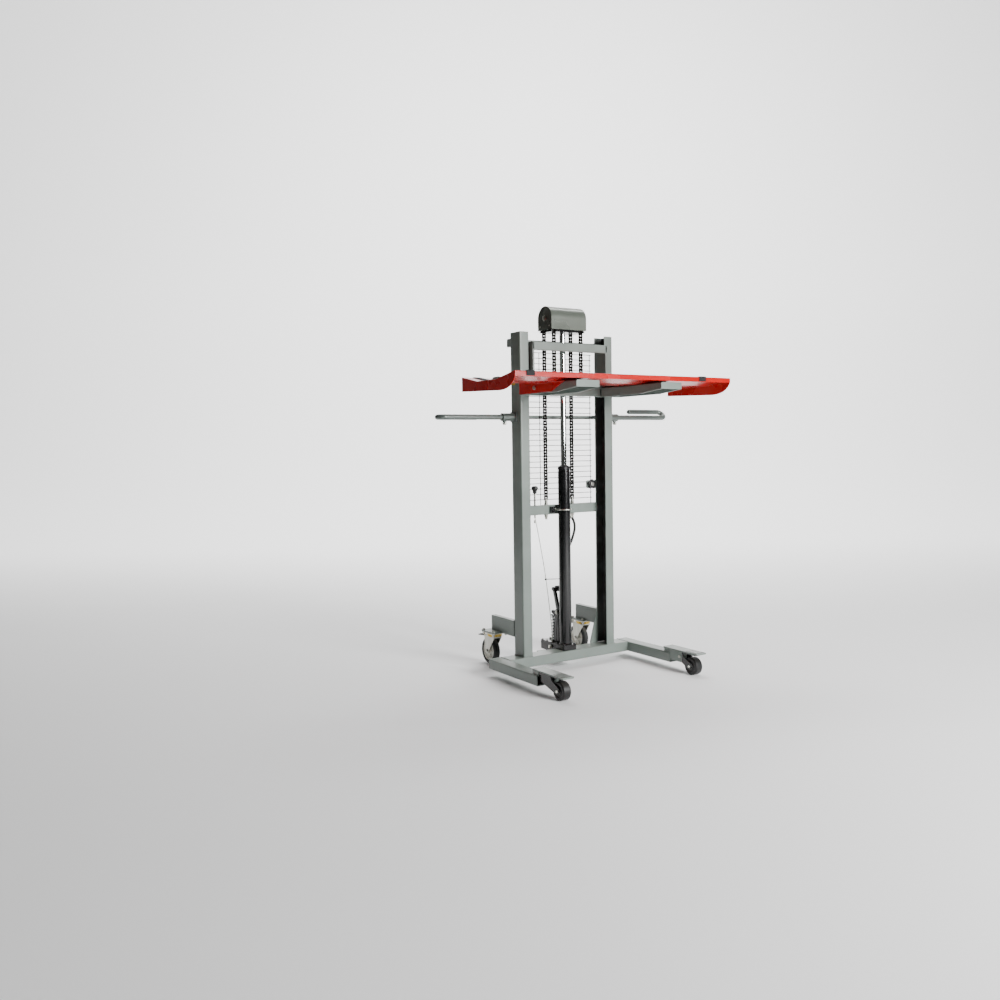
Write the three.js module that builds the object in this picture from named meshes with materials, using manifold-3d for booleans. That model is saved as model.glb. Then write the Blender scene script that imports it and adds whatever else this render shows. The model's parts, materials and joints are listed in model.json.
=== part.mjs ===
// Roll lifter: a portable hydraulic lift for long rolls of sheet material.
// A foot pump raises a ram between two channel masts. Chains over the pulleys on the
// ram double its stroke, and carry a carriage with two forks and a cradle for the roll.
//
// Millimetres, +Z up. The front, where the forks point, faces -Y.
// Each piece is placed from the floor, midway between the masts and through their depth.
// The whole machine is then moved along Y, so that its origin is on the floor at the
// middle of its length.

import * as THREE from 'three';
import { mergeVertices } from 'three/addons/utils/BufferGeometryUtils.js';
import Module from 'manifold-3d';

const wasm = await Module();
wasm.setup();

// ---------------------------------------------------------------- clearances

const CLEARANCE = 0.3;            // between pieces that touch, fit or turn in each other
const ROLLING_CLEARANCE = 0.5;    // mast roller to mast flange
const PASSING_GAP = 5;            // between the pulley cover and what it passes

// ---------------------------------------------------------------- base frame

const BASE_BOTTOM = 33;
const BASE_HEIGHT = 44;
const BASE_TOP = BASE_BOTTOM + BASE_HEIGHT;
const BASE_FRONT = -43.5;
const BASE_DEPTH = 80;
const BASE_REAR = BASE_FRONT + BASE_DEPTH;
const LEG_INNER = 323;
const LEG_WIDTH = 59;
const LEG_FRONT = -325;
const LEG_WALL = 4;

// --------------------------------------------------------------------- masts

const MAST_OUTER = 250;           // centre plane to the outside of a mast
const MAST_DEPTH = 75;
const MAST_FLANGE = 45;
const MAST_WALL = 5;
const MAST_TOP = 1470;
const MAST_INNER = MAST_OUTER - MAST_FLANGE;
const MAST_HALF_DEPTH = MAST_DEPTH / 2;
const GUSSET_HEIGHT = 148;
const GUSSET_REACH = 42;
const GUSSET_THICKNESS = 5;

// ---------------------------------------------------------- ram and cylinder

const CYLINDER_RADIUS = 27;
const CYLINDER_BORE = 20;
const CYLINDER_TOP = 880;
const CYLINDER_FOOT_HEIGHT = 24;
const CYLINDER_FOOT_SIZE = 70;
const GLAND_HEIGHT = 16;
const GLAND_SPIGOT = 18;
const ROD_RADIUS = 13;
const ROD_BOTTOM = 715;
const PISTON_HEIGHT = 34;
const CLAMP_Z = 703;
const CLAMP_HEIGHT = 8;
const CLAMP_WALL = 7;
const SADDLE_OUTER = 60;           // centre plane to the far side of the clamp saddle
const SADDLE_FRONT = 14;
const SADDLE_HEIGHT = 30;

// ------------------------------------------------- crosshead, pulleys, chains

const PULLEY_Z = 1537;
const PULLEY_X = 72;
const PULLEY_PITCH_RADIUS = 37;
const PULLEY_FLANGE_WIDTH = 3;
const PULLEY_HUB = 10;            // radius of the pulley axle
const CHAIN_WIDTH = 18;
const CHAIN_THICKNESS = 13;
const CHAIN_ANCHOR_Z = 742;
const CHAIN_ANCHOR_RADIUS = 6;
const COVER_HALF_DEPTH = 52;
const COVER_HALF_WIDTH = 93.5;
const COVER_WALL = 2.5;
const COVER_BOTTOM = 1487;
const CROSSHEAD_BOTTOM = 1477;
const CROSSHEAD_PLATE = 8;
const CROSSHEAD_HALF_WIDTH = 88;
const CROSSHEAD_HALF_DEPTH = 45;
const CROSSHEAD_BLOCK_HALF_WIDTH = 50;
const CROSSHEAD_BLOCK_HALF_DEPTH = 22;
const AXLE_NUT_LENGTH = 7;

// ---------------------------------------------------------------- cross beams

const CROSSBEAM_BOTTOM = 682;
const CROSSBEAM_HEIGHT = 42;
const CROSSBEAM_DEPTH = 29;
const CROSSBEAM_TOP = CROSSBEAM_BOTTOM + CROSSBEAM_HEIGHT;
const CROSSBEAM_FRONT = CYLINDER_RADIUS + 1;
const CROSSBEAM_REAR = CROSSBEAM_FRONT + CROSSBEAM_DEPTH;
const TOP_TIE_Z = MAST_TOP - 40;
const TOP_TIE_HEIGHT = 36;
const TOP_TIE_THICKNESS = 8;
const CROSS_TUBE_Z = 1112;
const CROSS_TUBE_RADIUS = 8;

// ---------------------------------------------------------------- wire guard

const GUARD_WIRE = 3;
const GUARD_PITCH = 24;
const GUARD_BOTTOM = 745;
const GUARD_TOP = 1393;
const GUARD_HALF_WIDTH = 202;
const GUARD_UPRIGHTS = [-196, -84, 84, 196];
const GUARD_FRONT = COVER_HALF_DEPTH + PASSING_GAP;
const GUARD_REAR = GUARD_FRONT + 2 * GUARD_WIRE - 0.5;

// ------------------------------------------------------------------ carriage

const FORK_TOP = 1238;
const CARRIAGE_BOTTOM = 1200;
const CARRIAGE_TOP = 1428;
const CARRIAGE_FRONT = -62;
const CARRIAGE_REAR = 18;
const CARRIAGE_PLATE = 8;
const CARRIAGE_SIDE = MAST_INNER - 5;
const CROSSBAR_HEIGHT = 36;
const CROSSBAR_DEPTH = 16;
const ROLLER_RADIUS = MAST_HALF_DEPTH - MAST_WALL - ROLLING_CLEARANCE;
const ROLLER_WIDTH = 32;
const ROLLER_AXLE = 12;
const LOWER_ROLLER_Z = 1232;
const UPPER_ROLLER_Z = 1394;

// --------------------------------------------------------------------- forks

const FORK_X = 216;
const FORK_WIDTH = 112;
const FORK_TIP = -460.5;
const FORK_TIP_THICKNESS = 27;
const FORK_DEPTH = 40;
const FORK_TAPER_START = -330;
const FORK_WALL = 6;
const FORK_HEEL_HEIGHT = 102;
const FORK_HEEL_THICKNESS = 8;

// -------------------------------------------------------------------- cradle

const CRADLE_HALF_WIDTH = 554;
const CRADLE_SHEET = 3;
const CRADLE_REAR = -71;
const CRADLE_LIP_TOP = 1265;
const CRADLE_LIP_HEIGHT = 21;
const CRADLE_FLOOR_REAR = -190;
const CRADLE_FLOOR_FRONT = -330;
const CRADLE_EAR_BOTTOM = 1197;
const CRADLE_EAR_REAR_BOTTOM = 1207;
const CRADLE_EAR_CORNER = 108;
const POCKET_BOTTOM = 1201;
const POCKET_FRONT_BOTTOM = -302;
const POCKET_FRONT_TOP = -394;
const POCKET_BOLT_Y = -184;
const POCKET_BOLT_Z = 1222;
const STRAP_WIDTH = 38;
const STRAP_THICKNESS = 2.5;
const STRAP_LEFT_X = -485;
const STRAP_RIGHT_X = 390;
const STRAP_HANG = 19;
const BUCKLE_LENGTH = 74;
const BUCKLE_WIDTH = 48;
const BUCKLE_HEIGHT = 15;

// -------------------------------------------------------------- front wheels

const FRONT_WHEEL_X = 347;
const FRONT_WHEEL_Y = -445.5;
const FRONT_WHEEL_RADIUS = 37.5;
const FRONT_WHEEL_WIDTH = 38;
const FRONT_AXLE = 6;
const FRONT_CHEEK = 4;
const FRONT_PLATE_X = 349;
const FRONT_PLATE_WIDTH = 56;
const FRONT_PLATE_BOTTOM = 92;
const FRONT_PLATE_THICKNESS = 6;
const FRONT_PLATE_FRONT = -493;
const FRONT_PLATE_REAR = -284;
const FRONT_BOX_FRONT = -400;
const FRONT_BOX_BOTTOM = 46;
const FRONT_BOX_OUTER = 351;
const FRONT_ARM_BOTTOM = 58;

// ------------------------------------------------------------------- casters

const CASTER_X = 250;
const CASTER_Y = 198;
const CASTER_TRAIL = 36;
const CASTER_WHEEL_RADIUS = 62.5;
const CASTER_WHEEL_WIDTH = 30;
const CASTER_AXLE = 6;
const CASTER_HEIGHT = 155;
const CASTER_PLATE_WIDTH = 84;
const CASTER_PLATE_LENGTH = 100;
const CASTER_PLATE_THICKNESS = 5;
const CASTER_RACE_RADIUS = 36;
const CASTER_RACE_HEIGHT = 11;
const CASTER_CROWN_RADIUS = 31;
const CASTER_CROWN_HEIGHT = 10;
const CASTER_FORK_WALL = 3.5;
const CASTER_KINGPIN = 6;
const BRAKE_LENGTH = 68;
const BRAKE_WIDTH = 30;
const BRAKE_PIVOT_Y = 52;
const BRAKE_PIVOT_Z = 134;
const BRAKE_PIN = 4;
const ARM_WIDTH = 25;
const ARM_HEIGHT = 71;
const ARM_REAR = 224;

// ---------------------------------------------------------------------- pump

const PUMP_HALF_WIDTH = 32;
const PUMP_BOTTOM = 58;
const PUMP_TOP = 100;
const PUMP_REAR = 152;
const PUMP_TRAY_THICKNESS = 10;
const PUMP_TRAY_REAR = 176;
const PLUNGER_Y = 92;
const PLUNGER_RADIUS = 7;
const PLUNGER_TOP = 224;
const PLUNGER_DEPTH = 30;
const PLUNGER_STROKE = 24;
const PLUNGER_CAP_RADIUS = 14;
const PLUNGER_CAP_HEIGHT = 6;
const LEVER_PIVOT_Y = 50;
const LEVER_PIVOT_Z = 236;
const LEVER_PIN = 6;
const LEVER_THICKNESS = 12;
const LEVER_HUB_RADIUS = 14;
const LEVER_SHOE_RADIUS = 8;
const LEVER_TREAD_Y = 82;
const LEVER_TREAD_Z = 338;
const LEVER_TREAD_RADIUS = 13;
const LEVER_TREAD_HALF_WIDTH = 42;
const LEVER_CHEEK = 6;

// ---------------------------------------------------- the machine's own length

const MACHINE_FRONT = FRONT_PLATE_FRONT;
const MACHINE_REAR = CASTER_Y + BRAKE_PIVOT_Y + BRAKE_LENGTH;

// ------------------------------------------------- release, knobs and handles

const RELEASE_KNOB_RADIUS = 15;
const RELEASE_X = -130;
const RELEASE_Y = GUARD_FRONT - RELEASE_KNOB_RADIUS - 2;
const RELEASE_ROD = 4;
const RELEASE_KNOB_Z = 793;
const RELEASE_KNOB_HEIGHT = 34;
const CABLE_RADIUS = 2.2;
const HOSE_RADIUS = 5.5;
const STAR_X = 178;
const STAR_Z = 808;
const STAR_RADIUS = 23;
const STAR_LOBES = 5;
const STAR_THICKNESS = 16;
const STAR_STUD = 5;
const HANDLE_Z = 1110;
const HANDLE_Y = 12;
const HANDLE_RADIUS = 11;
const HANDLE_REACH = 620;
const HANDLE_BEND = 22;
const HANDLE_RETURN = 180;
const HANDLE_RIGHT_TILT = 40;     // degrees that the right handle is turned up
const SOCKET_RADIUS = 17;
const SOCKET_LENGTH = 64;
const SOCKET_END = MAST_OUTER + SOCKET_LENGTH;
const SOCKET_PLATE = 5;

// =========================================================== geometry helpers

/** A closed three.js geometry as a solid that can be joined and cut. */
function solid(geometry) {
  const bare = geometry.clone();
  bare.deleteAttribute('normal');
  bare.deleteAttribute('uv');
  const merged = mergeVertices(bare, 1e-4);
  return new wasm.Manifold(new wasm.Mesh({
    numProp: 3,
    vertProperties: merged.attributes.position.array,
    triVerts: new Uint32Array(merged.index.array),
  }));
}

/** A solid back as a geometry for a mesh. */
function geometryOf(body) {
  const mesh = body.getMesh();
  const geometry = new THREE.BufferGeometry();
  geometry.setAttribute('position', new THREE.BufferAttribute(mesh.vertProperties, 3));
  geometry.setIndex(new THREE.BufferAttribute(mesh.triVerts, 1));
  geometry.computeVertexNormals();
  return geometry;
}

/** Several solids joined into one. */
function join(...solids) {
  return solids.reduce((whole, next) => whole.add(next));
}

/** A rectangular block between two values on each axis, given in either order. */
function block([x0, x1], [y0, y1], [z0, z1]) {
  const size = [Math.abs(x1 - x0), Math.abs(y1 - y0), Math.abs(z1 - z0)];
  const box = new THREE.BoxGeometry(...size);
  box.translate((x0 + x1) / 2, (y0 + y1) / 2, (z0 + z1) / 2);
  return solid(box);
}

/** Turns and places for round pieces, whose own axis is +Y when three.js makes them. */
const TO_AXIS = {
  x: new THREE.Matrix4().makeRotationZ(-Math.PI / 2),
  y: new THREE.Matrix4(),
  z: new THREE.Matrix4().makeRotationX(Math.PI / 2),
};

/** Put a point's along-axis value and its two cross values into x, y, z order. */
function onAxis(axis, along, [a, b]) {
  if (axis === 'x') return [along, a, b];
  return axis === 'y' ? [a, along, b] : [a, b, along];
}

/** A round bar along an axis, between two values, through a point across that axis. */
function bar(axis, radius, [from, to], centre, segments = 24) {
  const cylinder = new THREE.CylinderGeometry(radius, radius, Math.abs(to - from), segments);
  cylinder.applyMatrix4(TO_AXIS[axis]);
  cylinder.translate(...onAxis(axis, (from + to) / 2, centre));
  return solid(cylinder);
}

/** A turned piece: [radius, along] points that start and end on the axis. */
function turned(axis, profile, centre, segments = 32) {
  const points = profile.map(([radius, along]) => new THREE.Vector2(radius, along));
  const lathe = new THREE.LatheGeometry(points, segments);
  lathe.applyMatrix4(TO_AXIS[axis]);
  lathe.translate(...onAxis(axis, 0, centre));
  return solid(lathe);
}

/** Axes that an outline's first value, second value and thickness follow. */
const OUTLINE_BASIS = {
  x: new THREE.Matrix4().makeBasis(
    new THREE.Vector3(0, 1, 0), new THREE.Vector3(0, 0, 1), new THREE.Vector3(1, 0, 0)),
  y: new THREE.Matrix4().makeBasis(
    new THREE.Vector3(-1, 0, 0), new THREE.Vector3(0, 0, 1), new THREE.Vector3(0, 1, 0)),
  z: new THREE.Matrix4(),
};

/** A flat plate of any outline: [Y, Z] points along x, [X, Z] along y, [X, Y] along z. */
function plate(axis, outline, [from, to], curveSegments = 12) {
  const shape = outline instanceof THREE.Shape ? outline : outlineShape(axis, outline);
  const depth = Math.abs(to - from);
  const slab = new THREE.ExtrudeGeometry(shape, { depth, bevelEnabled: false, curveSegments });
  slab.applyMatrix4(OUTLINE_BASIS[axis]);
  slab.translate(...onAxis(axis, Math.min(from, to), [0, 0]));
  return solid(slab);
}

/** The outline as a shape; along y its first value is turned over to keep it right-handed. */
function outlineShape(axis, outline) {
  const sign = axis === 'y' ? -1 : 1;
  return new THREE.Shape(outline.map(([a, b]) => new THREE.Vector2(sign * a, b)));
}

/** A solid tube of round section along a smooth curve. */
function tube(curve, radius, steps, sides) {
  const section = new THREE.Shape();
  section.absarc(0, 0, radius, 0, 2 * Math.PI);
  const swept = new THREE.ExtrudeGeometry(section, {
    steps,
    curveSegments: sides / 2,
    extrudePath: curve,
    bevelEnabled: false,
  });
  return solid(swept);
}

/** A mesh with its own plain material. */
function part(name, body, finish, parent) {
  const material = new THREE.MeshStandardMaterial(finish);
  const mesh = new THREE.Mesh(geometryOf(body), material);
  mesh.name = name;
  parent.add(mesh);
  return mesh;
}

/** Both sides of the machine, with the name ending and the sign of X. */
const SIDES = [['left', -1], ['right', 1]];

// ------------------------------------------------------------------- finishes

const FRAME_GREY = { color: 0xa9b3af, roughness: 0.5, metalness: 0.1 };
const CRADLE_RED = { color: 0xd81f10, roughness: 0.4, metalness: 0.1 };
const SATIN_BLACK = { color: 0x151515, roughness: 0.4, metalness: 0.3 };
const CHAIN_BLACK = { color: 0x1d1d1c, roughness: 0.5, metalness: 0.6 };
const BRIGHT_CHROME = { color: 0xd9dcde, roughness: 0.12, metalness: 1 };
const ZINC = { color: 0xb9b8b0, roughness: 0.4, metalness: 0.9 };
const TYRE_BLACK = { color: 0x1b1b1b, roughness: 0.7, metalness: 0 };
const WIRE_BLACK = { color: 0x242422, roughness: 0.5, metalness: 0.3 };
const WEBBING_BLACK = { color: 0x121212, roughness: 0.9, metalness: 0 };

const machine = new THREE.Group();
machine.position.y = -(MACHINE_FRONT + MACHINE_REAR) / 2;

// ================================================================= base frame

/** Cross beam under the masts, with the tray that carries the pump behind it. */
function baseBeam() {
  const half = LEG_INNER - CLEARANCE;
  const beam = block([-half, half], [BASE_FRONT, BASE_REAR], [BASE_BOTTOM, BASE_TOP]);
  const tray = block(
    [-PUMP_HALF_WIDTH - 8, PUMP_HALF_WIDTH + 8],
    [BASE_REAR - 1, PUMP_TRAY_REAR],
    [BASE_BOTTOM, BASE_BOTTOM + PUMP_TRAY_THICKNESS],
  );
  return join(beam, tray);
}

/** Straight box-section leg, running forward to the front wheel. */
function leg(side) {
  const x = [side * LEG_INNER, side * (LEG_INNER + LEG_WIDTH)];
  const inner = [side * (LEG_INNER + LEG_WALL), side * (LEG_INNER + LEG_WIDTH - LEG_WALL)];
  const outside = block(x, [LEG_FRONT, BASE_REAR], [BASE_BOTTOM, BASE_TOP]);
  const inside = block(
    inner,
    [LEG_FRONT - 1, BASE_REAR + 1],
    [BASE_BOTTOM + LEG_WALL, BASE_TOP - LEG_WALL],
  );
  return outside.subtract(inside);
}

part('base_beam', baseBeam(), FRAME_GREY, machine);
for (const [name, side] of SIDES) {
  part(`leg_${name}`, leg(side), FRAME_GREY, machine);
}

// ====================================================================== masts

/** Rolled channel, open towards the middle, with its foot gusset on the rear flange. */
function mast(side) {
  const foot = BASE_TOP + CLEARANCE;
  const web = MAST_OUTER - MAST_WALL;
  const channel = block([side * MAST_INNER, side * MAST_OUTER],
    [-MAST_HALF_DEPTH, MAST_HALF_DEPTH], [foot, MAST_TOP]);
  const inside = block([side * (MAST_INNER - 1), side * web],
    [MAST_WALL - MAST_HALF_DEPTH, MAST_HALF_DEPTH - MAST_WALL], [foot - 1, MAST_TOP + 1]);
  const gusset = plate('y', [
    [side * (MAST_INNER + 2), foot],
    [side * (MAST_INNER + 2), foot + GUSSET_HEIGHT],
    [side * (MAST_INNER - 3), foot + GUSSET_HEIGHT],
    [side * (MAST_INNER - GUSSET_REACH), foot],
  ], [BASE_REAR - GUSSET_THICKNESS, BASE_REAR]);
  const body = join(channel.subtract(inside), gusset);
  return side > 0 ? join(body, starKnobTab()) : body;
}

/** Tab behind the right mast that takes the stud of the star knob. */
function starKnobTab() {
  const tab = block(
    [STAR_X - STAR_RADIUS, MAST_OUTER - MAST_WALL],
    [MAST_HALF_DEPTH - 0.5, MAST_HALF_DEPTH + MAST_WALL],
    [STAR_Z - 18, STAR_Z + 18],
  );
  const hole = bar('y', STAR_STUD + CLEARANCE, [MAST_HALF_DEPTH - 2, MAST_HALF_DEPTH + 10],
    [STAR_X, STAR_Z]);
  return tab.subtract(hole);
}

for (const [name, side] of SIDES) {
  part(`mast_${name}`, mast(side), FRAME_GREY, machine);
}

// ================================================================ cross beams

/** Beam behind the cylinder that the chains are anchored to. */
function midCrossbeam() {
  const half = MAST_INNER - CLEARANCE;
  const beam = block([-half, half], [CROSSBEAM_FRONT, CROSSBEAM_REAR], [CROSSBEAM_BOTTOM, CROSSBEAM_TOP]);
  const through = [CROSSBEAM_BOTTOM - 1, CROSSBEAM_TOP + 1];
  const release = bar('z', RELEASE_ROD + CLEARANCE, through, [RELEASE_X, RELEASE_Y], 16);
  const anchors = SIDES.map(([, side]) => bar('z', CHAIN_ANCHOR_RADIUS + CLEARANCE, through,
    [side * PULLEY_X, PULLEY_PITCH_RADIUS], 16));
  return anchors.reduce((cut, hole) => cut.subtract(hole), beam.subtract(release));
}

/** Flat bar behind the mast tops, held off the flanges by two blocks. */
function topTie() {
  const front = GUARD_REAR + CLEARANCE;
  const half = MAST_OUTER - MAST_WALL;
  const tie = block([-half, half], [front, front + TOP_TIE_THICKNESS],
    [TOP_TIE_Z - TOP_TIE_HEIGHT / 2, TOP_TIE_Z + TOP_TIE_HEIGHT / 2]);
  return join(tie, ...standOffs(TOP_TIE_Z, TOP_TIE_HEIGHT, front + 1));
}

/** Round tube across the back of the masts at handle height. */
function crossTube() {
  const centre = GUARD_REAR + CLEARANCE + CROSS_TUBE_RADIUS;
  const half = MAST_OUTER - MAST_WALL;
  const across = bar('x', CROSS_TUBE_RADIUS, [-half, half], [centre, CROSS_TUBE_Z], 20);
  return join(across, ...standOffs(CROSS_TUBE_Z, 2 * CROSS_TUBE_RADIUS, centre));
}

/** Blocks between the rear flanges and a cross piece, outside the wire guard. */
function standOffs(z, height, rear) {
  return SIDES.map(([, side]) => block(
    [side * (GUARD_HALF_WIDTH + 8), side * (MAST_OUTER - MAST_WALL)],
    [MAST_HALF_DEPTH + CLEARANCE, rear],
    [z - height / 2, z + height / 2],
  ));
}

/** Threaded end of a chain, through the crossbeam with a nut on each side. */
function chainAnchor(side) {
  const centre = [side * PULLEY_X, PULLEY_PITCH_RADIUS];
  const nut = CHAIN_ANCHOR_RADIUS + 3;
  const stud = bar('z', CHAIN_ANCHOR_RADIUS, [CROSSBEAM_BOTTOM - 22, CHAIN_ANCHOR_Z], centre, 16);
  const upper = bar('z', nut, [CROSSBEAM_TOP + CLEARANCE, CROSSBEAM_TOP + 10], centre, 6);
  const lower = bar('z', nut, [CROSSBEAM_BOTTOM - 12, CROSSBEAM_BOTTOM - CLEARANCE], centre, 6);
  return join(stud, upper, lower);
}

part('mid_crossbeam', midCrossbeam(), FRAME_GREY, machine);
part('top_tie', topTie(), FRAME_GREY, machine);
part('cross_tube', crossTube(), FRAME_GREY, machine);
for (const [name, side] of SIDES) {
  part(`chain_anchor_${name}`, chainAnchor(side), ZINC, machine);
}

// ================================================================= wire guard

/** Welded screen of level wires on four uprights, behind the moving chains. */
function wireGuard() {
  const [front, rear] = [GUARD_FRONT, GUARD_REAR];
  const uprights = GUARD_UPRIGHTS.map((x) => block(
    [x - GUARD_WIRE / 2, x + GUARD_WIRE / 2],
    [rear - GUARD_WIRE, rear],
    [CROSSBEAM_BOTTOM + 6, GUARD_TOP + GUARD_WIRE],
  ));
  const wires = [];
  for (let z = GUARD_BOTTOM; z <= GUARD_TOP; z += GUARD_PITCH) {
    wires.push(block([-GUARD_HALF_WIDTH, GUARD_HALF_WIDTH], [front, front + GUARD_WIRE],
      [z, z + GUARD_WIRE]));
  }
  return join(...uprights, ...wires);
}

part('wire_guard', wireGuard(), WIRE_BLACK, machine);

// =================================================================== cylinder

/** Square foot that closes the bottom of the cylinder. */
function cylinderFoot() {
  const half = CYLINDER_FOOT_SIZE / 2;
  const bottom = BASE_TOP + CLEARANCE;
  const top = bottom + CYLINDER_FOOT_HEIGHT;
  const foot = block([-half, half], [-half, half], [bottom, top]);
  const spigot = bar('z', CYLINDER_BORE - CLEARANCE, [top - 1, top + 10], [0, 0]);
  return join(foot, spigot);
}

/** Honed tube, open at both ends. */
function cylinderTube() {
  const bottom = BASE_TOP + CYLINDER_FOOT_HEIGHT + 2 * CLEARANCE;
  const outside = bar('z', CYLINDER_RADIUS, [bottom, CYLINDER_TOP], [0, 0], 32);
  return outside.subtract(bar('z', CYLINDER_BORE, [bottom - 1, CYLINDER_TOP + 1], [0, 0], 32));
}

/** Gland nut that guides the rod, with a chamfered top edge. */
function cylinderGland() {
  const seat = CYLINDER_TOP + CLEARANCE;
  const top = CYLINDER_TOP + GLAND_HEIGHT;
  const nut = turned('z', [
    [0, seat - GLAND_SPIGOT],
    [CYLINDER_BORE - CLEARANCE, seat - GLAND_SPIGOT],
    [CYLINDER_BORE - CLEARANCE, seat],
    [CYLINDER_RADIUS, seat],
    [CYLINDER_RADIUS, top - 4],
    [CYLINDER_RADIUS - 5, top],
    [0, top],
  ], [0, 0]);
  return nut.subtract(bar('z', ROD_RADIUS + CLEARANCE, [CYLINDER_TOP - 40, top + 1], [0, 0], 32));
}

/** U-bolt that holds the cylinder to the mid crossbeam, with a saddle block on its left. */
function cylinderClamp() {
  const height = [CLAMP_Z - CLAMP_HEIGHT / 2, CLAMP_Z + CLAMP_HEIGHT / 2];
  const tall = [CLAMP_Z - SADDLE_HEIGHT / 2, CLAMP_Z + SADDLE_HEIGHT / 2];
  const face = CROSSBEAM_FRONT - CLEARANCE;
  const inner = CYLINDER_RADIUS + CLEARANCE;
  const ring = bar('z', inner + CLAMP_WALL, height, [0, 0], 32);
  const ears = block([-inner - 18, inner + 18], [face - CLAMP_WALL, face], height);
  const saddle = block([-SADDLE_OUTER, -inner], [SADDLE_FRONT, face], tall);
  const beam = block([-SADDLE_OUTER, SADDLE_OUTER], [face, CROSSBEAM_REAR], [tall[0] - 1, tall[1] + 1]);
  const tube = bar('z', inner, [tall[0] - 1, tall[1] + 1], [0, 0], 32);
  return join(ring, ears, saddle).subtract(beam).subtract(tube);
}

part('cylinder_foot', cylinderFoot(), SATIN_BLACK, machine);
part('cylinder_tube', cylinderTube(), SATIN_BLACK, machine);
part('cylinder_gland', cylinderGland(), SATIN_BLACK, machine);
part('cylinder_clamp', cylinderClamp(), ZINC, machine);

// ============================================================== pump and hose

/** Pump block with its plunger bore, and the two cheeks and pin of the foot lever. */
function pumpBody() {
  const rearOfBeam = BASE_REAR + CLEARANCE;
  const body = block([-PUMP_HALF_WIDTH, PUMP_HALF_WIDTH], [rearOfBeam, PUMP_REAR], [PUMP_BOTTOM, PUMP_TOP]);
  const foot = block([-PUMP_HALF_WIDTH + 8, PUMP_HALF_WIDTH - 8], [rearOfBeam, PUMP_REAR - 30],
    [BASE_BOTTOM + PUMP_TRAY_THICKNESS + CLEARANCE, PUMP_BOTTOM + 1]);
  const bore = bar('z', PLUNGER_RADIUS + CLEARANCE, [PUMP_TOP - PLUNGER_DEPTH - PLUNGER_STROKE, PUMP_TOP + 1],
    [0, PLUNGER_Y]);
  const cheekInner = LEVER_THICKNESS / 2 + CLEARANCE;
  const cheekOutline = [
    [rearOfBeam, PUMP_TOP - 2],
    [PLUNGER_Y - PLUNGER_CAP_RADIUS - 4, PUMP_TOP - 2],
    [LEVER_PIVOT_Y + LEVER_HUB_RADIUS, LEVER_PIVOT_Z],
    [LEVER_PIVOT_Y + LEVER_HUB_RADIUS / 2, LEVER_PIVOT_Z + LEVER_HUB_RADIUS],
    [LEVER_PIVOT_Y - LEVER_HUB_RADIUS / 2, LEVER_PIVOT_Z + LEVER_HUB_RADIUS],
    [rearOfBeam, LEVER_PIVOT_Z],
  ];
  const cheeks = SIDES.map(([, side]) => plate('x', cheekOutline,
    [side * cheekInner, side * (cheekInner + LEVER_CHEEK)]));
  const reach = cheekInner + LEVER_CHEEK + 4;
  const pin = bar('x', LEVER_PIN, [-reach, reach], [LEVER_PIVOT_Y, LEVER_PIVOT_Z], 20);
  return join(join(body, foot).subtract(bore), pin, ...cheeks);
}

/** Plunger with the cap that its return spring pushes up. */
function pumpPlunger() {
  const cap = [PLUNGER_TOP - PLUNGER_CAP_HEIGHT, PLUNGER_TOP];
  return join(
    bar('z', PLUNGER_RADIUS, [PUMP_TOP - PLUNGER_DEPTH, PLUNGER_TOP], [0, PLUNGER_Y]),
    bar('z', PLUNGER_CAP_RADIUS, cap, [0, PLUNGER_Y]),
  );
}

/** Rounded bar between two [Y, Z] points, as part of the lever's plate. */
function leverArm([y0, z0], [y1, z1], width) {
  const length = Math.hypot(y1 - y0, z1 - z0);
  const [across, up] = [(-(z1 - z0) / length) * (width / 2), ((y1 - y0) / length) * (width / 2)];
  return plate('x', [
    [y0 + across, z0 + up],
    [y0 - across, z0 - up],
    [y1 - across, z1 - up],
    [y1 + across, z1 + up],
  ], [-LEVER_THICKNESS / 2, LEVER_THICKNESS / 2]);
}

/** Foot lever: hub, shoe that bears on the plunger, and a round tread bar. */
function footLever() {
  const half = LEVER_THICKNESS / 2;
  const pivot = [LEVER_PIVOT_Y, LEVER_PIVOT_Z];
  const shoe = [PLUNGER_Y, PLUNGER_TOP + CLEARANCE + LEVER_SHOE_RADIUS];
  const tread = [LEVER_TREAD_Y, LEVER_TREAD_Z];
  const solids = [
    bar('x', LEVER_HUB_RADIUS, [-half, half], pivot),
    leverArm(pivot, shoe, 2 * LEVER_SHOE_RADIUS),
    bar('x', LEVER_SHOE_RADIUS, [-half, half], shoe, 20),
    leverArm(pivot, tread, 2 * LEVER_SHOE_RADIUS),
    bar('x', LEVER_TREAD_RADIUS, [-half - 4, LEVER_TREAD_HALF_WIDTH], tread),
  ];
  return join(...solids).subtract(bar('x', LEVER_PIN + CLEARANCE, [-half - 1, half + 1], pivot, 20));
}

/** Hose from the top of the pressure line, round the back of the cylinder to the pump. */
function hydraulicHose() {
  const start = CYLINDER_RADIUS + CLEARANCE + HOSE_RADIUS;
  const route = [
    [start + 1, 4, CROSSBEAM_BOTTOM - 8],
    [start + 17, 3, CROSSBEAM_BOTTOM - 26],
    [start + 27, 4, CROSSBEAM_BOTTOM - 62],
    [start + 19, 14, CROSSBEAM_BOTTOM - 115],
    [start + 2, 30, CROSSBEAM_BOTTOM - 175],
    [start - 13, 43, CROSSBEAM_BOTTOM - 250],
    [start - 12, 44, LEVER_PIVOT_Z + 90],
    [start - 10, 46, LEVER_PIVOT_Z],
    [start - 10, 48, PUMP_TOP + CLEARANCE],
  ].map((point) => new THREE.Vector3(...point));
  return tube(new THREE.CatmullRomCurve3(route), HOSE_RADIUS, 40, 8);
}

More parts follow.
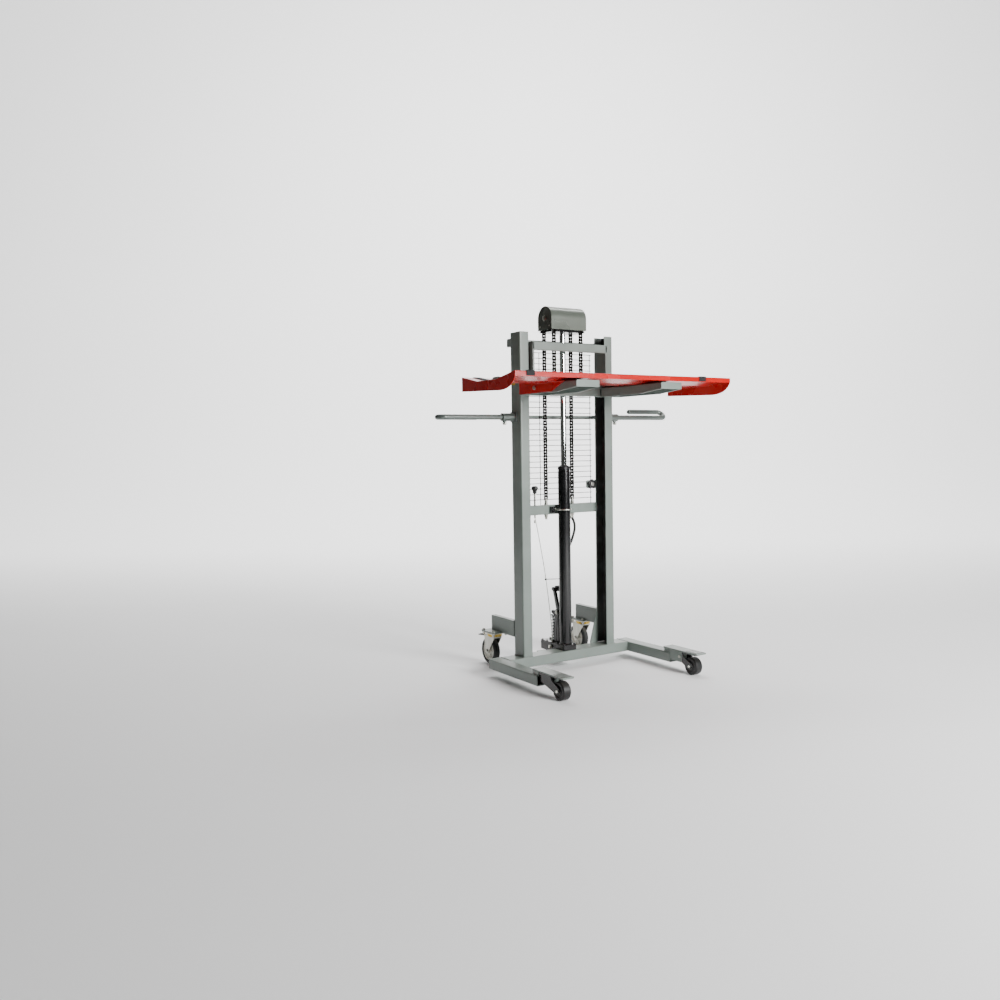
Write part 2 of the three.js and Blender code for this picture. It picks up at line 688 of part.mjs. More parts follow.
/** Cable from the release knob's rod down to the pump's lowering valve. */
function releaseCable() {
  const route = [
    [RELEASE_X, RELEASE_Y, CROSSBEAM_BOTTOM - 15],
    [RELEASE_X + 14, RELEASE_Y + 5, CROSSBEAM_BOTTOM - 60],
    [RELEASE_X + 60, RELEASE_Y + 17, CROSSBEAM_BOTTOM - 255],
    [-PUMP_HALF_WIDTH + 6, PLUNGER_Y - 22, PUMP_TOP + 60],
    [-PUMP_HALF_WIDTH + 8, PLUNGER_Y - 22, PUMP_TOP + CLEARANCE],
  ].map((point) => new THREE.Vector3(...point));
  return tube(new THREE.CatmullRomCurve3(route), CABLE_RADIUS, 36, 8);
}

part('pump_body', pumpBody(), SATIN_BLACK, machine);
part('pump_plunger', pumpPlunger(), BRIGHT_CHROME, machine);
part('foot_lever', footLever(), SATIN_BLACK, machine);
part('hydraulic_hose', hydraulicHose(), SATIN_BLACK, machine);
part('release_cable', releaseCable(), ZINC, machine);

// ================================================================ release knob

/** Mushroom knob on a rod that passes down through the crossbeam. */
function releaseKnob() {
  const centre = [RELEASE_X, RELEASE_Y];
  const bottom = RELEASE_KNOB_Z - RELEASE_KNOB_HEIGHT / 2;
  const [r, h] = [RELEASE_KNOB_RADIUS, RELEASE_KNOB_HEIGHT];
  const knob = turned('z', [
    [0, bottom],
    [r * 0.55, bottom],
    [r * 0.62, bottom + h * 0.35],
    [r, bottom + h * 0.6],
    [r * 0.92, bottom + h * 0.86],
    [r * 0.5, bottom + h],
    [0, bottom + h],
  ], centre, 24);
  const rod = bar('z', RELEASE_ROD, [CROSSBEAM_BOTTOM - 14, bottom + 2], centre, 16);
  return join(knob, rod);
}

/** Five-lobed hand knob with its stud, on the tab behind the right mast. */
function starKnob() {
  const outline = new THREE.Shape();
  const steps = STAR_LOBES * 12;
  for (let step = 0; step < steps; step += 1) {
    const turn = (2 * Math.PI * step) / steps;
    const radius = STAR_RADIUS * (0.86 + 0.14 * Math.cos(STAR_LOBES * turn));
    const point = [radius * Math.sin(turn) - STAR_X, radius * Math.cos(turn) + STAR_Z];
    if (step === 0) outline.moveTo(...point);
    else outline.lineTo(...point);
  }
  const rear = MAST_HALF_DEPTH - 0.5 - CLEARANCE;
  const lobes = plate('y', outline, [rear - STAR_THICKNESS, rear]);
  const stud = bar('y', STAR_STUD, [rear - 1, MAST_HALF_DEPTH + MAST_WALL + 8], [STAR_X, STAR_Z], 16);
  return join(lobes, stud);
}

part('release_knob', releaseKnob(), SATIN_BLACK, machine);
part('star_knob', starKnob(), SATIN_BLACK, machine);

// ==================================================================== handles

/** Socket welded to the mast's web, with its clamp bolt underneath. */
function handleSocket(side) {
  const face = MAST_OUTER + CLEARANCE;
  const centre = [HANDLE_Y, HANDLE_Z];
  const base = block([side * face, side * (face + SOCKET_PLATE)],
    [HANDLE_Y - 1.6 * SOCKET_RADIUS, HANDLE_Y + 1.4 * SOCKET_RADIUS],
    [HANDLE_Z - 1.3 * SOCKET_RADIUS, HANDLE_Z + 1.3 * SOCKET_RADIUS]);
  const sleeve = bar('x', SOCKET_RADIUS, [side * (face + 1), side * SOCKET_END], centre);
  const depth = [side * (face + SOCKET_PLATE), side * (SOCKET_END + 1)];
  const bore = bar('x', HANDLE_RADIUS + CLEARANCE, depth, centre);
  const boltX = side * (SOCKET_END - 14);
  const low = HANDLE_Z - SOCKET_RADIUS - 16;
  const bolt = bar('z', 5, [low, HANDLE_Z - HANDLE_RADIUS - 3], [boltX, HANDLE_Y], 12);
  const head = bar('z', 9, [low, low + 8], [boltX, HANDLE_Y], 6);
  return join(base, sleeve, bolt, head).subtract(bore);
}

/** J-shaped handle about its own socket axis: out, round and part of the way back. */
function handleBar(side) {
  const start = MAST_OUTER + SOCKET_PLATE + 2 * CLEARANCE;
  const bend = HANDLE_REACH - HANDLE_RADIUS - HANDLE_BEND;
  const lines = [];
  const at = (x, y) => new THREE.Vector3(side * x, y, 0);
  lines.push(new THREE.LineCurve3(at(start, 0), at(bend, 0)));
  const steps = 6;
  for (let step = 0; step < steps; step += 1) {
    const [a, b] = [step, step + 1].map((count) => (Math.PI * count) / steps);
    const point = (turn) => at(bend + HANDLE_BEND * Math.sin(turn), HANDLE_BEND * (1 - Math.cos(turn)));
    lines.push(new THREE.LineCurve3(point(a), point(b)));
  }
  lines.push(new THREE.LineCurve3(at(bend, 2 * HANDLE_BEND), at(bend - HANDLE_RETURN, 2 * HANDLE_BEND)));
  return joinedTube(lines, HANDLE_RADIUS, 12);
}

/** Straight tubes end to end, with a ball at each bend. */
function joinedTube(lines, radius, sides) {
  const pieces = lines.map((line) => tube(line, radius, 1, sides));
  const elbows = lines.slice(1).map((line) => {
    const ball = new THREE.SphereGeometry(radius, sides, sides / 2);
    ball.rotateZ(Math.PI / 2);
    ball.translate(line.v1.x, line.v1.y, line.v1.z);
    return solid(ball);
  });
  return join(...pieces, ...elbows);
}

for (const [name, side] of SIDES) {
  part(`handle_socket_${name}`, handleSocket(side), FRAME_GREY, machine);
  const holder = new THREE.Group();
  holder.position.set(0, HANDLE_Y, HANDLE_Z);
  holder.rotation.x = side > 0 ? THREE.MathUtils.degToRad(HANDLE_RIGHT_TILT) : 0;
  part(`handle_${name}`, handleBar(side), FRAME_GREY, holder);
  machine.add(holder);
}

// ======================================================================== ram

const ram = new THREE.Group();
machine.add(ram);

/** Chromed rod with its piston, which stays inside the cylinder. */
function pistonRod() {
  return join(
    bar('z', ROD_RADIUS, [ROD_BOTTOM, CROSSHEAD_BOTTOM - CLEARANCE], [0, 0], 32),
    bar('z', CYLINDER_BORE - CLEARANCE, [ROD_BOTTOM, ROD_BOTTOM + PISTON_HEIGHT], [0, 0], 32),
  );
}

/** Crosshead: block that carries the axle, on a plate with a slot for each run of chain. */
function crosshead() {
  const plateTop = CROSSHEAD_BOTTOM + CROSSHEAD_PLATE;
  const base = block([-CROSSHEAD_HALF_WIDTH, CROSSHEAD_HALF_WIDTH],
    [-CROSSHEAD_HALF_DEPTH, CROSSHEAD_HALF_DEPTH], [CROSSHEAD_BOTTOM, plateTop]);
  const head = block([-CROSSHEAD_BLOCK_HALF_WIDTH, CROSSHEAD_BLOCK_HALF_WIDTH],
    [-CROSSHEAD_BLOCK_HALF_DEPTH, CROSSHEAD_BLOCK_HALF_DEPTH], [plateTop - 1, PULLEY_Z + 2 * PULLEY_HUB]);
  const reach = CHAIN_WIDTH / 2 + 2;
  const inner = PULLEY_PITCH_RADIUS - CHAIN_THICKNESS / 2 - 2;
  const slots = SIDES.flatMap(([, side]) => [-1, 1].map((run) => block(
    [side * PULLEY_X - reach, side * PULLEY_X + reach],
    [run * inner, run * (CROSSHEAD_HALF_DEPTH + 1)],
    [CROSSHEAD_BOTTOM - 1, plateTop + 1],
  )));
  const bore = bar('x', PULLEY_HUB + CLEARANCE, [-CROSSHEAD_HALF_WIDTH, CROSSHEAD_HALF_WIDTH], [0, PULLEY_Z]);
  return slots.reduce((cut, slot) => cut.subtract(slot), join(base, head)).subtract(bore);
}

/** Axle through both pulleys and the cover, with a hexagon nut at each end. */
function pulleyAxle() {
  const nutFace = COVER_HALF_WIDTH + CLEARANCE;
  const axle = bar('x', PULLEY_HUB, [-nutFace - 1, nutFace + 1], [0, PULLEY_Z]);
  const nuts = SIDES.map(([, side]) => bar('x', PULLEY_HUB + 3,
    [side * nutFace, side * (nutFace + AXLE_NUT_LENGTH)], [0, PULLEY_Z], 6));
  return join(axle, ...nuts);
}

/** Grooved pulley, whose groove holds the chain between two flanges. */
function pulley(side) {
  const groove = PULLEY_PITCH_RADIUS - CHAIN_THICKNESS / 2 - CLEARANCE;
  const rim = PULLEY_PITCH_RADIUS + CHAIN_THICKNESS / 2 - 1;
  const halfGroove = CHAIN_WIDTH / 2 + CLEARANCE;
  const half = halfGroove + PULLEY_FLANGE_WIDTH;
  const centre = side * PULLEY_X;
  const rims = [-1, 1].map((end) => bar('x', rim,
    [centre + end * halfGroove, centre + end * half], [0, PULLEY_Z], 40));
  const core = bar('x', groove, [centre - half, centre + half], [0, PULLEY_Z], 40);
  const bore = bar('x', PULLEY_HUB + CLEARANCE, [centre - half - 1, centre + half + 1], [0, PULLEY_Z]);
  return join(core, ...rims).subtract(bore);
}

/** Outline of an arch in Y and Z: straight legs under a half circle about the axle. */
function archOutline(radius, bottom) {
  const shape = new THREE.Shape();
  shape.moveTo(radius, bottom);
  shape.lineTo(radius, PULLEY_Z);
  shape.absarc(0, PULLEY_Z, radius, 0, Math.PI, false);
  shape.lineTo(-radius, bottom);
  shape.closePath();
  return shape;
}

/** Arched sheet cover over both pulleys, open underneath. */
function pulleyCover() {
  const outer = plate('x', archOutline(COVER_HALF_DEPTH, COVER_BOTTOM),
    [-COVER_HALF_WIDTH, COVER_HALF_WIDTH], 20);
  const width = COVER_HALF_WIDTH - COVER_WALL;
  const inner = plate('x', archOutline(COVER_HALF_DEPTH - COVER_WALL, COVER_BOTTOM - 1), [-width, width], 20);
  const hole = bar('x', PULLEY_HUB + CLEARANCE, [-COVER_HALF_WIDTH - 1, COVER_HALF_WIDTH + 1], [0, PULLEY_Z]);
  return outer.subtract(inner).subtract(hole);
}

/** Leaf chain: up the rear run from its anchor, over the pulley and down to the carriage. */
function chain(side) {
  const rearEnd = CHAIN_ANCHOR_Z + CLEARANCE;
  const frontEnd = CARRIAGE_BOTTOM + CROSSBAR_HEIGHT + CLEARANCE;
  const half = CHAIN_THICKNESS / 2;
  const width = [side * PULLEY_X - CHAIN_WIDTH / 2, side * PULLEY_X + CHAIN_WIDTH / 2];
  const outer = plate('x', archOutline(PULLEY_PITCH_RADIUS + half, rearEnd), width, 20);
  const inner = plate('x', archOutline(PULLEY_PITCH_RADIUS - half, rearEnd - 1),
    [width[0] - 1, width[1] + 1], 20);
  const belowCarriage = block([width[0] - 1, width[1] + 1],
    [-PULLEY_PITCH_RADIUS - half - 1, 0], [0, frontEnd]);
  return outer.subtract(inner).subtract(belowCarriage);
}

part('piston_rod', pistonRod(), BRIGHT_CHROME, ram);
part('crosshead', crosshead(), SATIN_BLACK, ram);
part('pulley_axle', pulleyAxle(), ZINC, ram);
part('pulley_cover', pulleyCover(), FRAME_GREY, ram);
for (const [name, side] of SIDES) {
  part(`pulley_${name}`, pulley(side), ZINC, ram);
  part(`chain_${name}`, chain(side), CHAIN_BLACK, ram);
}

// =================================================================== carriage

const carriage = new THREE.Group();
machine.add(carriage);

/** Welded carriage: two side plates, two crossbars, roller stubs and chain lugs. */
function carriageFrame() {
  const sides = SIDES.map(([, side]) => block(
    [side * (CARRIAGE_SIDE - CARRIAGE_PLATE), side * CARRIAGE_SIDE],
    [CARRIAGE_FRONT, CARRIAGE_REAR],
    [CARRIAGE_BOTTOM, CARRIAGE_TOP],
  ));
  const crossbars = [CARRIAGE_BOTTOM, CARRIAGE_TOP - CROSSBAR_HEIGHT].map((z) => block(
    [-CARRIAGE_SIDE + 1, CARRIAGE_SIDE - 1],
    [CARRIAGE_FRONT, CARRIAGE_FRONT + CROSSBAR_DEPTH],
    [z, z + CROSSBAR_HEIGHT],
  ));
  const stubEnd = MAST_INNER + 2 + ROLLER_WIDTH + 2;
  const stubs = SIDES.flatMap(([, side]) => [LOWER_ROLLER_Z, UPPER_ROLLER_Z].map((z) => bar('x', ROLLER_AXLE,
    [side * (CARRIAGE_SIDE - 1), side * stubEnd], [0, z])));
  const lugs = SIDES.map(([, side]) => block(
    [side * PULLEY_X - CHAIN_WIDTH, side * PULLEY_X + CHAIN_WIDTH],
    [CARRIAGE_FRONT + CROSSBAR_DEPTH - 1, CHAIN_THICKNESS / 2 + 2 - PULLEY_PITCH_RADIUS],
    [CARRIAGE_BOTTOM, CARRIAGE_BOTTOM + CROSSBAR_HEIGHT],
  ));
  return join(...sides, ...crossbars, ...stubs, ...lugs);
}

/** Mast roller, with a bore that runs on the carriage's stub. */
function mastRoller(side, z) {
  const x = [side * (MAST_INNER + 2), side * (MAST_INNER + 2 + ROLLER_WIDTH)];
  const bore = bar('x', ROLLER_AXLE + CLEARANCE, [x[0] - side, x[1] + side], [0, z]);
  return bar('x', ROLLER_RADIUS, x, [0, z], 40).subtract(bore);
}

/** Fork: tapered pressed channel, open underneath, with a heel plate on the carriage. */
function fork(side) {
  const x = [FORK_X - FORK_WIDTH / 2, FORK_X + FORK_WIDTH / 2];
  const heel = CARRIAGE_FRONT - CLEARANCE;
  const blade = plate('x', [
    [heel, FORK_TOP],
    [heel, FORK_TOP - FORK_DEPTH],
    [FORK_TAPER_START, FORK_TOP - FORK_DEPTH],
    [FORK_TIP, FORK_TOP - FORK_TIP_THICKNESS],
    [FORK_TIP, FORK_TOP],
  ], x.map((value) => side * value));
  const hollow = block(
    [side * (x[0] + FORK_WALL), side * (x[1] - FORK_WALL)],
    [heel - FORK_HEEL_THICKNESS, FORK_TIP + FORK_WALL],
    [FORK_TOP - FORK_DEPTH - 1, FORK_TOP - FORK_WALL],
  );
  const upright = block(x.map((value) => side * value), [heel - FORK_HEEL_THICKNESS, heel],
    [FORK_TOP - FORK_DEPTH, FORK_TOP - FORK_DEPTH + FORK_HEEL_HEIGHT]);
  return join(blade.subtract(hollow), upright);
}

/** Top surface of the cradle sheet, from the rear edge to the front lip, as [Y, Z]. */
function cradleTop() {
  const floor = FORK_TOP + CLEARANCE + CRADLE_SHEET;
  return [
    [CRADLE_REAR, CRADLE_LIP_TOP],
    [CRADLE_FLOOR_REAR, floor],
    [CRADLE_FLOOR_FRONT, floor],
    [FORK_TIP, CRADLE_LIP_TOP],
  ];
}

/** The same line moved down by a distance, keeping its ends on the same Y. */
function lowered(line, distance) {
  return line.map(([y, z]) => [y, z - distance]);
}

/** Fork pocket plate under the cradle, outside a fork, with its clamp bolt. */
function forkPocket(side) {
  const inner = FORK_X + FORK_WIDTH / 2 + 3;
  const roof = FORK_TOP + CLEARANCE + CRADLE_SHEET / 2;
  const wall = plate('x', [
    [CRADLE_REAR, POCKET_BOTTOM],
    [POCKET_FRONT_BOTTOM, POCKET_BOTTOM],
    [POCKET_FRONT_TOP, roof],
    [CRADLE_FLOOR_REAR, roof],
    [CRADLE_REAR, CRADLE_LIP_TOP - CRADLE_SHEET / 2],
  ], [side * inner, side * (inner + CRADLE_SHEET)]);
  const bolt = bar('x', 8, [side * (inner + 1), side * (inner + CRADLE_SHEET + 7)],
    [POCKET_BOLT_Y, POCKET_BOLT_Z], 6);
  return join(wall, bolt);
}

/** End plate of the cradle, with a rounded lower front corner. */
function cradleEar(side) {
  const shape = new THREE.Shape();
  const roof = lowered(cradleTop(), CRADLE_SHEET / 2);
  shape.moveTo(CRADLE_REAR, CRADLE_EAR_REAR_BOTTOM);
  roof.forEach(([y, z]) => shape.lineTo(y, z));
  shape.lineTo(FORK_TIP, CRADLE_LIP_TOP - CRADLE_LIP_HEIGHT);
  shape.quadraticCurveTo(FORK_TIP + 24, CRADLE_EAR_BOTTOM, FORK_TIP + CRADLE_EAR_CORNER, CRADLE_EAR_BOTTOM);
  shape.closePath();
  return plate('x', shape, [side * (CRADLE_HALF_WIDTH - CRADLE_SHEET), side * CRADLE_HALF_WIDTH], 8);
}

/** Folded sheet cradle: trough, front lip, end plates and fork pockets. */
function cradle() {
  const top = cradleTop();
  const under = lowered(top, CRADLE_SHEET).reverse();
  const width = [-CRADLE_HALF_WIDTH, CRADLE_HALF_WIDTH];
  const trough = plate('x', [...top, ...under], width);
  const lip = block(width, [FORK_TIP, FORK_TIP + CRADLE_SHEET],
    [CRADLE_LIP_TOP - CRADLE_LIP_HEIGHT, CRADLE_LIP_TOP - 0.5]);
  const ears = SIDES.map(([, side]) => cradleEar(side));
  const pockets = SIDES.map(([, side]) => forkPocket(side));
  return join(trough, lip, ...ears, ...pockets);
}

/** Webbing strap lying in the trough and over the lip, with its ratchet buckle. */
function strap(centre) {
  const under = lowered(cradleTop(), -CLEARANCE);
  const over = lowered(cradleTop(), -CLEARANCE - STRAP_THICKNESS).reverse();
  const x = [centre - STRAP_WIDTH / 2, centre + STRAP_WIDTH / 2];
  const lying = plate('x', [...under, ...over], x);
  const front = FORK_TIP - CLEARANCE;
  const hanging = block(x, [front - STRAP_THICKNESS, front],
    [CRADLE_LIP_TOP - STRAP_HANG, CRADLE_LIP_TOP + STRAP_THICKNESS + CLEARANCE]);
  const fold = block(x, [front - 1, FORK_TIP + 6],
    [CRADLE_LIP_TOP + CLEARANCE, CRADLE_LIP_TOP + STRAP_THICKNESS + CLEARANCE]);
  const bed = FORK_TOP + CRADLE_SHEET + 2 * CLEARANCE + STRAP_THICKNESS - 1;
  const middle = (CRADLE_FLOOR_REAR + CRADLE_FLOOR_FRONT) / 2;
  const buckle = block([centre - BUCKLE_WIDTH / 2, centre + BUCKLE_WIDTH / 2],
    [middle - BUCKLE_LENGTH / 2, middle + BUCKLE_LENGTH / 2], [bed, bed + BUCKLE_HEIGHT]);
  return join(lying, hanging, fold, buckle);
}

part('carriage_frame', carriageFrame(), FRAME_GREY, carriage);
for (const [name, side] of SIDES) {
  part(`roller_lower_${name}`, mastRoller(side, LOWER_ROLLER_Z), ZINC, carriage);
  part(`roller_upper_${name}`, mastRoller(side, UPPER_ROLLER_Z), ZINC, carriage);
  part(`fork_${name}`, fork(side), FRAME_GREY, carriage);
}
part('cradle', cradle(), CRADLE_RED, carriage);
part('strap_left', strap(STRAP_LEFT_X), WEBBING_BLACK, carriage);
part('strap_right', strap(STRAP_RIGHT_X), WEBBING_BLACK, carriage);

// =============================================================== front wheels

/** Plate over the front wheel, with the block on the leg and the box in front of its end. */
function frontPlate(side) {
  const [x, half] = [side * FRONT_PLATE_X, FRONT_PLATE_WIDTH / 2];
  const top = FRONT_PLATE_BOTTOM + FRONT_PLATE_THICKNESS;
  const cover = block([x - half, x + half], [FRONT_PLATE_FRONT, FRONT_PLATE_REAR], [FRONT_PLATE_BOTTOM, top]);
  const spacer = block([side * (LEG_INNER + 4), side * (FRONT_PLATE_X + half - 2)],
    [LEG_FRONT, FRONT_PLATE_REAR], [BASE_TOP + CLEARANCE, FRONT_PLATE_BOTTOM + 1]);
  const box = block([side * (LEG_INNER + 0.5), side * FRONT_BOX_OUTER],
    [FRONT_BOX_FRONT, LEG_FRONT - CLEARANCE], [FRONT_BOX_BOTTOM, FRONT_PLATE_BOTTOM + 1]);
  return join(cover, spacer, box);
}

/** Wheel fork under that plate: an arm from the leg on each side of the wheel, and its axle. */
function frontFork(side) {
  const x = side * FRONT_WHEEL_X;
  const inner = FRONT_WHEEL_WIDTH / 2 + 1.5;
  const outer = inner + FRONT_CHEEK;
  const rear = LEG_FRONT - CLEARANCE;
  const behindWheel = FRONT_BOX_FRONT - CLEARANCE;
  const top = FRONT_PLATE_BOTTOM - CLEARANCE;
  const roofFront = FRONT_WHEEL_Y - FRONT_WHEEL_RADIUS + 2;
  const arm = (start) => plate('x', [
    [start, top],
    [start, start === rear ? FRONT_ARM_BOTTOM : FRONT_ARM_BOTTOM - 12],
    [FRONT_WHEEL_Y + 8, FRONT_WHEEL_RADIUS - 13],
    [FRONT_WHEEL_Y - 8, FRONT_WHEEL_RADIUS - 11],
    [FRONT_WHEEL_Y - 14, FRONT_WHEEL_RADIUS],
    [FRONT_WHEEL_Y - 6, FRONT_WHEEL_RADIUS + 15],
    [FRONT_WHEEL_Y + 36, FRONT_WHEEL_RADIUS + 36],
    [FRONT_WHEEL_Y + 42, top],
  ], [0, FRONT_CHEEK]);
  const outerArm = arm(rear).translate([side > 0 ? x + inner : x - outer, 0, 0]);
  const innerArm = arm(behindWheel).translate([side > 0 ? x - outer : x + inner, 0, 0]);
  const roof = block([x - outer, x + outer], [roofFront, behindWheel], [top - FRONT_CHEEK, top]);
  const axle = bar('x', FRONT_AXLE, [x - outer - 6, x + outer + 6], [FRONT_WHEEL_Y, FRONT_WHEEL_RADIUS], 20);
  return join(outerArm, innerArm, roof, axle);
}

/** Solid roller wheel. */
function frontWheel(side) {
  const x = side * FRONT_WHEEL_X;
  const half = FRONT_WHEEL_WIDTH / 2;
  const centre = [FRONT_WHEEL_Y, FRONT_WHEEL_RADIUS];
  const tread = bar('x', FRONT_WHEEL_RADIUS, [x - half, x + half], centre, 48);
  return tread.subtract(bar('x', FRONT_AXLE + CLEARANCE, [x - half - 1, x + half + 1], centre, 20));
}

for (const [name, side] of SIDES) {
  part(`front_plate_${name}`, frontPlate(side), FRAME_GREY, machine);
  part(`front_fork_${name}`, frontFork(side), SATIN_BLACK, machine);
  part(`front_wheel_${name}`, frontWheel(side), TYRE_BLACK, machine);
}

// ==================================================================== casters

/** Arm behind the mast that carries a caster, in the caster's own place. */
function casterArm(side) {
  const front = MAST_HALF_DEPTH + CLEARANCE - CASTER_Y;
  const bottom = CASTER_HEIGHT + CLEARANCE;
  const x = [side * (MAST_OUTER - CASTER_X), side * (MAST_OUTER - ARM_WIDTH - CASTER_X)];
  const arm = block(x, [front, ARM_REAR - CASTER_Y], [bottom, bottom + ARM_HEIGHT]);
  const pad = block([-CASTER_PLATE_WIDTH / 2, CASTER_PLATE_WIDTH / 2],
    [-CASTER_PLATE_LENGTH / 2, CASTER_PLATE_LENGTH / 2], [bottom, bottom + CASTER_PLATE_THICKNESS]);
  return join(arm, pad);
}

/** Bolted top plate with the fixed race and the kingpin. */
function casterPlate() {
  const under = CASTER_HEIGHT - CASTER_PLATE_THICKNESS;
  const race = under - CASTER_RACE_HEIGHT;
  const top = block([-CASTER_PLATE_WIDTH / 2, CASTER_PLATE_WIDTH / 2],
    [-CASTER_PLATE_LENGTH / 2, CASTER_PLATE_LENGTH / 2], [under, CASTER_HEIGHT]);
  return join(
    top,
    bar('z', CASTER_RACE_RADIUS, [race, under + 1], [0, 0], 36),
    bar('z', CASTER_KINGPIN, [race - CASTER_CROWN_HEIGHT, race + 1], [0, 0], 16),
  );
}

/** Swivelling fork with the wheel axle and the brake pin. */
function casterFork() {
  const crownTop = CASTER_HEIGHT - CASTER_PLATE_THICKNESS - CASTER_RACE_HEIGHT - CLEARANCE;
  const crownBottom = crownTop - CASTER_CROWN_HEIGHT;
  const inner = CASTER_WHEEL_WIDTH / 2 + 2;
  const outer = inner + CASTER_FORK_WALL;
  const outline = [
    [-CASTER_CROWN_RADIUS + 6, crownTop],
    [BRAKE_PIVOT_Y + 7, crownTop],
    [BRAKE_PIVOT_Y + 7, BRAKE_PIVOT_Z - 8],
    [CASTER_TRAIL + 14, CASTER_WHEEL_RADIUS],
    [CASTER_TRAIL + 8, CASTER_WHEEL_RADIUS - 13],
    [CASTER_TRAIL - 8, CASTER_WHEEL_RADIUS - 13],
    [CASTER_TRAIL - 14, CASTER_WHEEL_RADIUS],
    [-CASTER_CROWN_RADIUS + 6, crownBottom],
  ];
  const legs = SIDES.map(([, edge]) => plate('x', outline, [edge * inner, edge * outer]));
  const crown = bar('z', CASTER_CROWN_RADIUS, [crownBottom, crownTop], [0, 0], 32);
  const kingpin = bar('z', CASTER_KINGPIN + CLEARANCE, [crownBottom - 1, crownTop + 1], [0, 0], 16);
  const axle = bar('x', CASTER_AXLE, [-outer - 6, outer + 6], [CASTER_TRAIL, CASTER_WHEEL_RADIUS], 20);
  const pin = bar('x', BRAKE_PIN, [-outer - 2, outer + 2], [BRAKE_PIVOT_Y, BRAKE_PIVOT_Z], 12);
  return join(crown.subtract(kingpin), ...legs, axle, pin);
}

/** Wheel with a thick tyre and a bored hub. */
function casterWheel() {
  const half = CASTER_WHEEL_WIDTH / 2;
  const centre = [CASTER_TRAIL, CASTER_WHEEL_RADIUS];
  const wheel = bar('x', CASTER_WHEEL_RADIUS, [-half, half], centre, 56);
  return wheel.subtract(bar('x', CASTER_AXLE + CLEARANCE, [-half - 1, half + 1], centre, 20));
}

/** Brake pedal on its pin, reaching back over the wheel. */
function brakePedal() {
  const hub = BRAKE_PIN + CLEARANCE;
  const [y, z] = [BRAKE_PIVOT_Y, BRAKE_PIVOT_Z];
  const half = BRAKE_WIDTH / 2;
  const arm = plate('x', [
    [y - 7, z + 4],
    [y - 7, z - 6],
    [y + BRAKE_LENGTH, z - 13],
    [y + BRAKE_LENGTH, z - 8],
    [y + 10, z + 4],
  ], [-half, half]);
  return arm.subtract(bar('x', hub, [-half - 1, half + 1], [y, z], 12));
}

for (const [name, side] of SIDES) {
  const caster = new THREE.Group();
  caster.position.set(side * CASTER_X, CASTER_Y, 0);
  part(`caster_arm_${name}`, casterArm(side), FRAME_GREY, caster);
  part(`caster_plate_${name}`, casterPlate(), ZINC, caster);
  part(`caster_fork_${name}`, casterFork(), ZINC, caster);
  part(`caster_wheel_${name}`, casterWheel(), TYRE_BLACK, caster);
  part(`brake_pedal_${name}`, brakePedal(), SATIN_BLACK, caster);
  machine.add(caster);
}

export default machine;
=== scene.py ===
"""Looks of a foot-pumped hydraulic roll lifter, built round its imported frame.

Pieces are modelled in millimetres from the cylinder's axis at floor level, with +Z up and
the forks towards -Y, and are set into the frame in metres by the Bench.
"""

import json
import logging
import math
from collections.abc import Callable, Iterable, Sequence
from dataclasses import dataclass, field
from enum import Enum, auto

import bmesh
import bpy
from mathutils import Matrix, Vector

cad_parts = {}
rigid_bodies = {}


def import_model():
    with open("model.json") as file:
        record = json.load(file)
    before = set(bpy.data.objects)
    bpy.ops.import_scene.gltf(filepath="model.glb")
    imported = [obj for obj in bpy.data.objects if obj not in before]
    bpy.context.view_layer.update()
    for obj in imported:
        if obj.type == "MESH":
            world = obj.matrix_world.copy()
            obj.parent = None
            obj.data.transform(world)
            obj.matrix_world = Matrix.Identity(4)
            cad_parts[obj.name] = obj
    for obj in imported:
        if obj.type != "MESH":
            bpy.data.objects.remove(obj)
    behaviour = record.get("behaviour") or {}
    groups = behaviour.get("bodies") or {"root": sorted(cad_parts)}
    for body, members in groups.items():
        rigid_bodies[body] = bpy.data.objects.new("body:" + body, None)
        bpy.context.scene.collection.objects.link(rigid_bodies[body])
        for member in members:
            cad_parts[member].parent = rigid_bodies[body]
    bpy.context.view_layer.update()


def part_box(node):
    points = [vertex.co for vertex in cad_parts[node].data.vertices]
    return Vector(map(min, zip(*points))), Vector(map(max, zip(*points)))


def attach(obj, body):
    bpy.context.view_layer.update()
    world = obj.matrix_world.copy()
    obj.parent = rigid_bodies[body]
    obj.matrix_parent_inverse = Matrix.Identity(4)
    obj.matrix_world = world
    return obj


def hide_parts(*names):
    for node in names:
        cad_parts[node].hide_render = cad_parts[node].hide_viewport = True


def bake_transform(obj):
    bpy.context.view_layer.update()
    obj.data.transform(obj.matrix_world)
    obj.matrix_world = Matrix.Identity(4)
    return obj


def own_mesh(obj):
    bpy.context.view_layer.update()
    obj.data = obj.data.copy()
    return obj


for leftover in list(bpy.data.objects):
    bpy.data.objects.remove(leftover)
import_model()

LOG = logging.getLogger("roll_lifter")
Flat = tuple[float, float]
SIDES = (("left", -1), ("right", 1))


# ------------------------------------------------------------------ shader parts


def from_hex(code: str) -> tuple[float, float, float]:
    """Linear colour of a six-digit sRGB code."""
    values = [int(code[i:i + 2], 16) / 255 for i in (0, 2, 4)]
    linear = [v / 12.92 if v <= 0.04045 else ((v + 0.055) / 1.055) ** 2.4 for v in values]
    return linear[0], linear[1], linear[2]


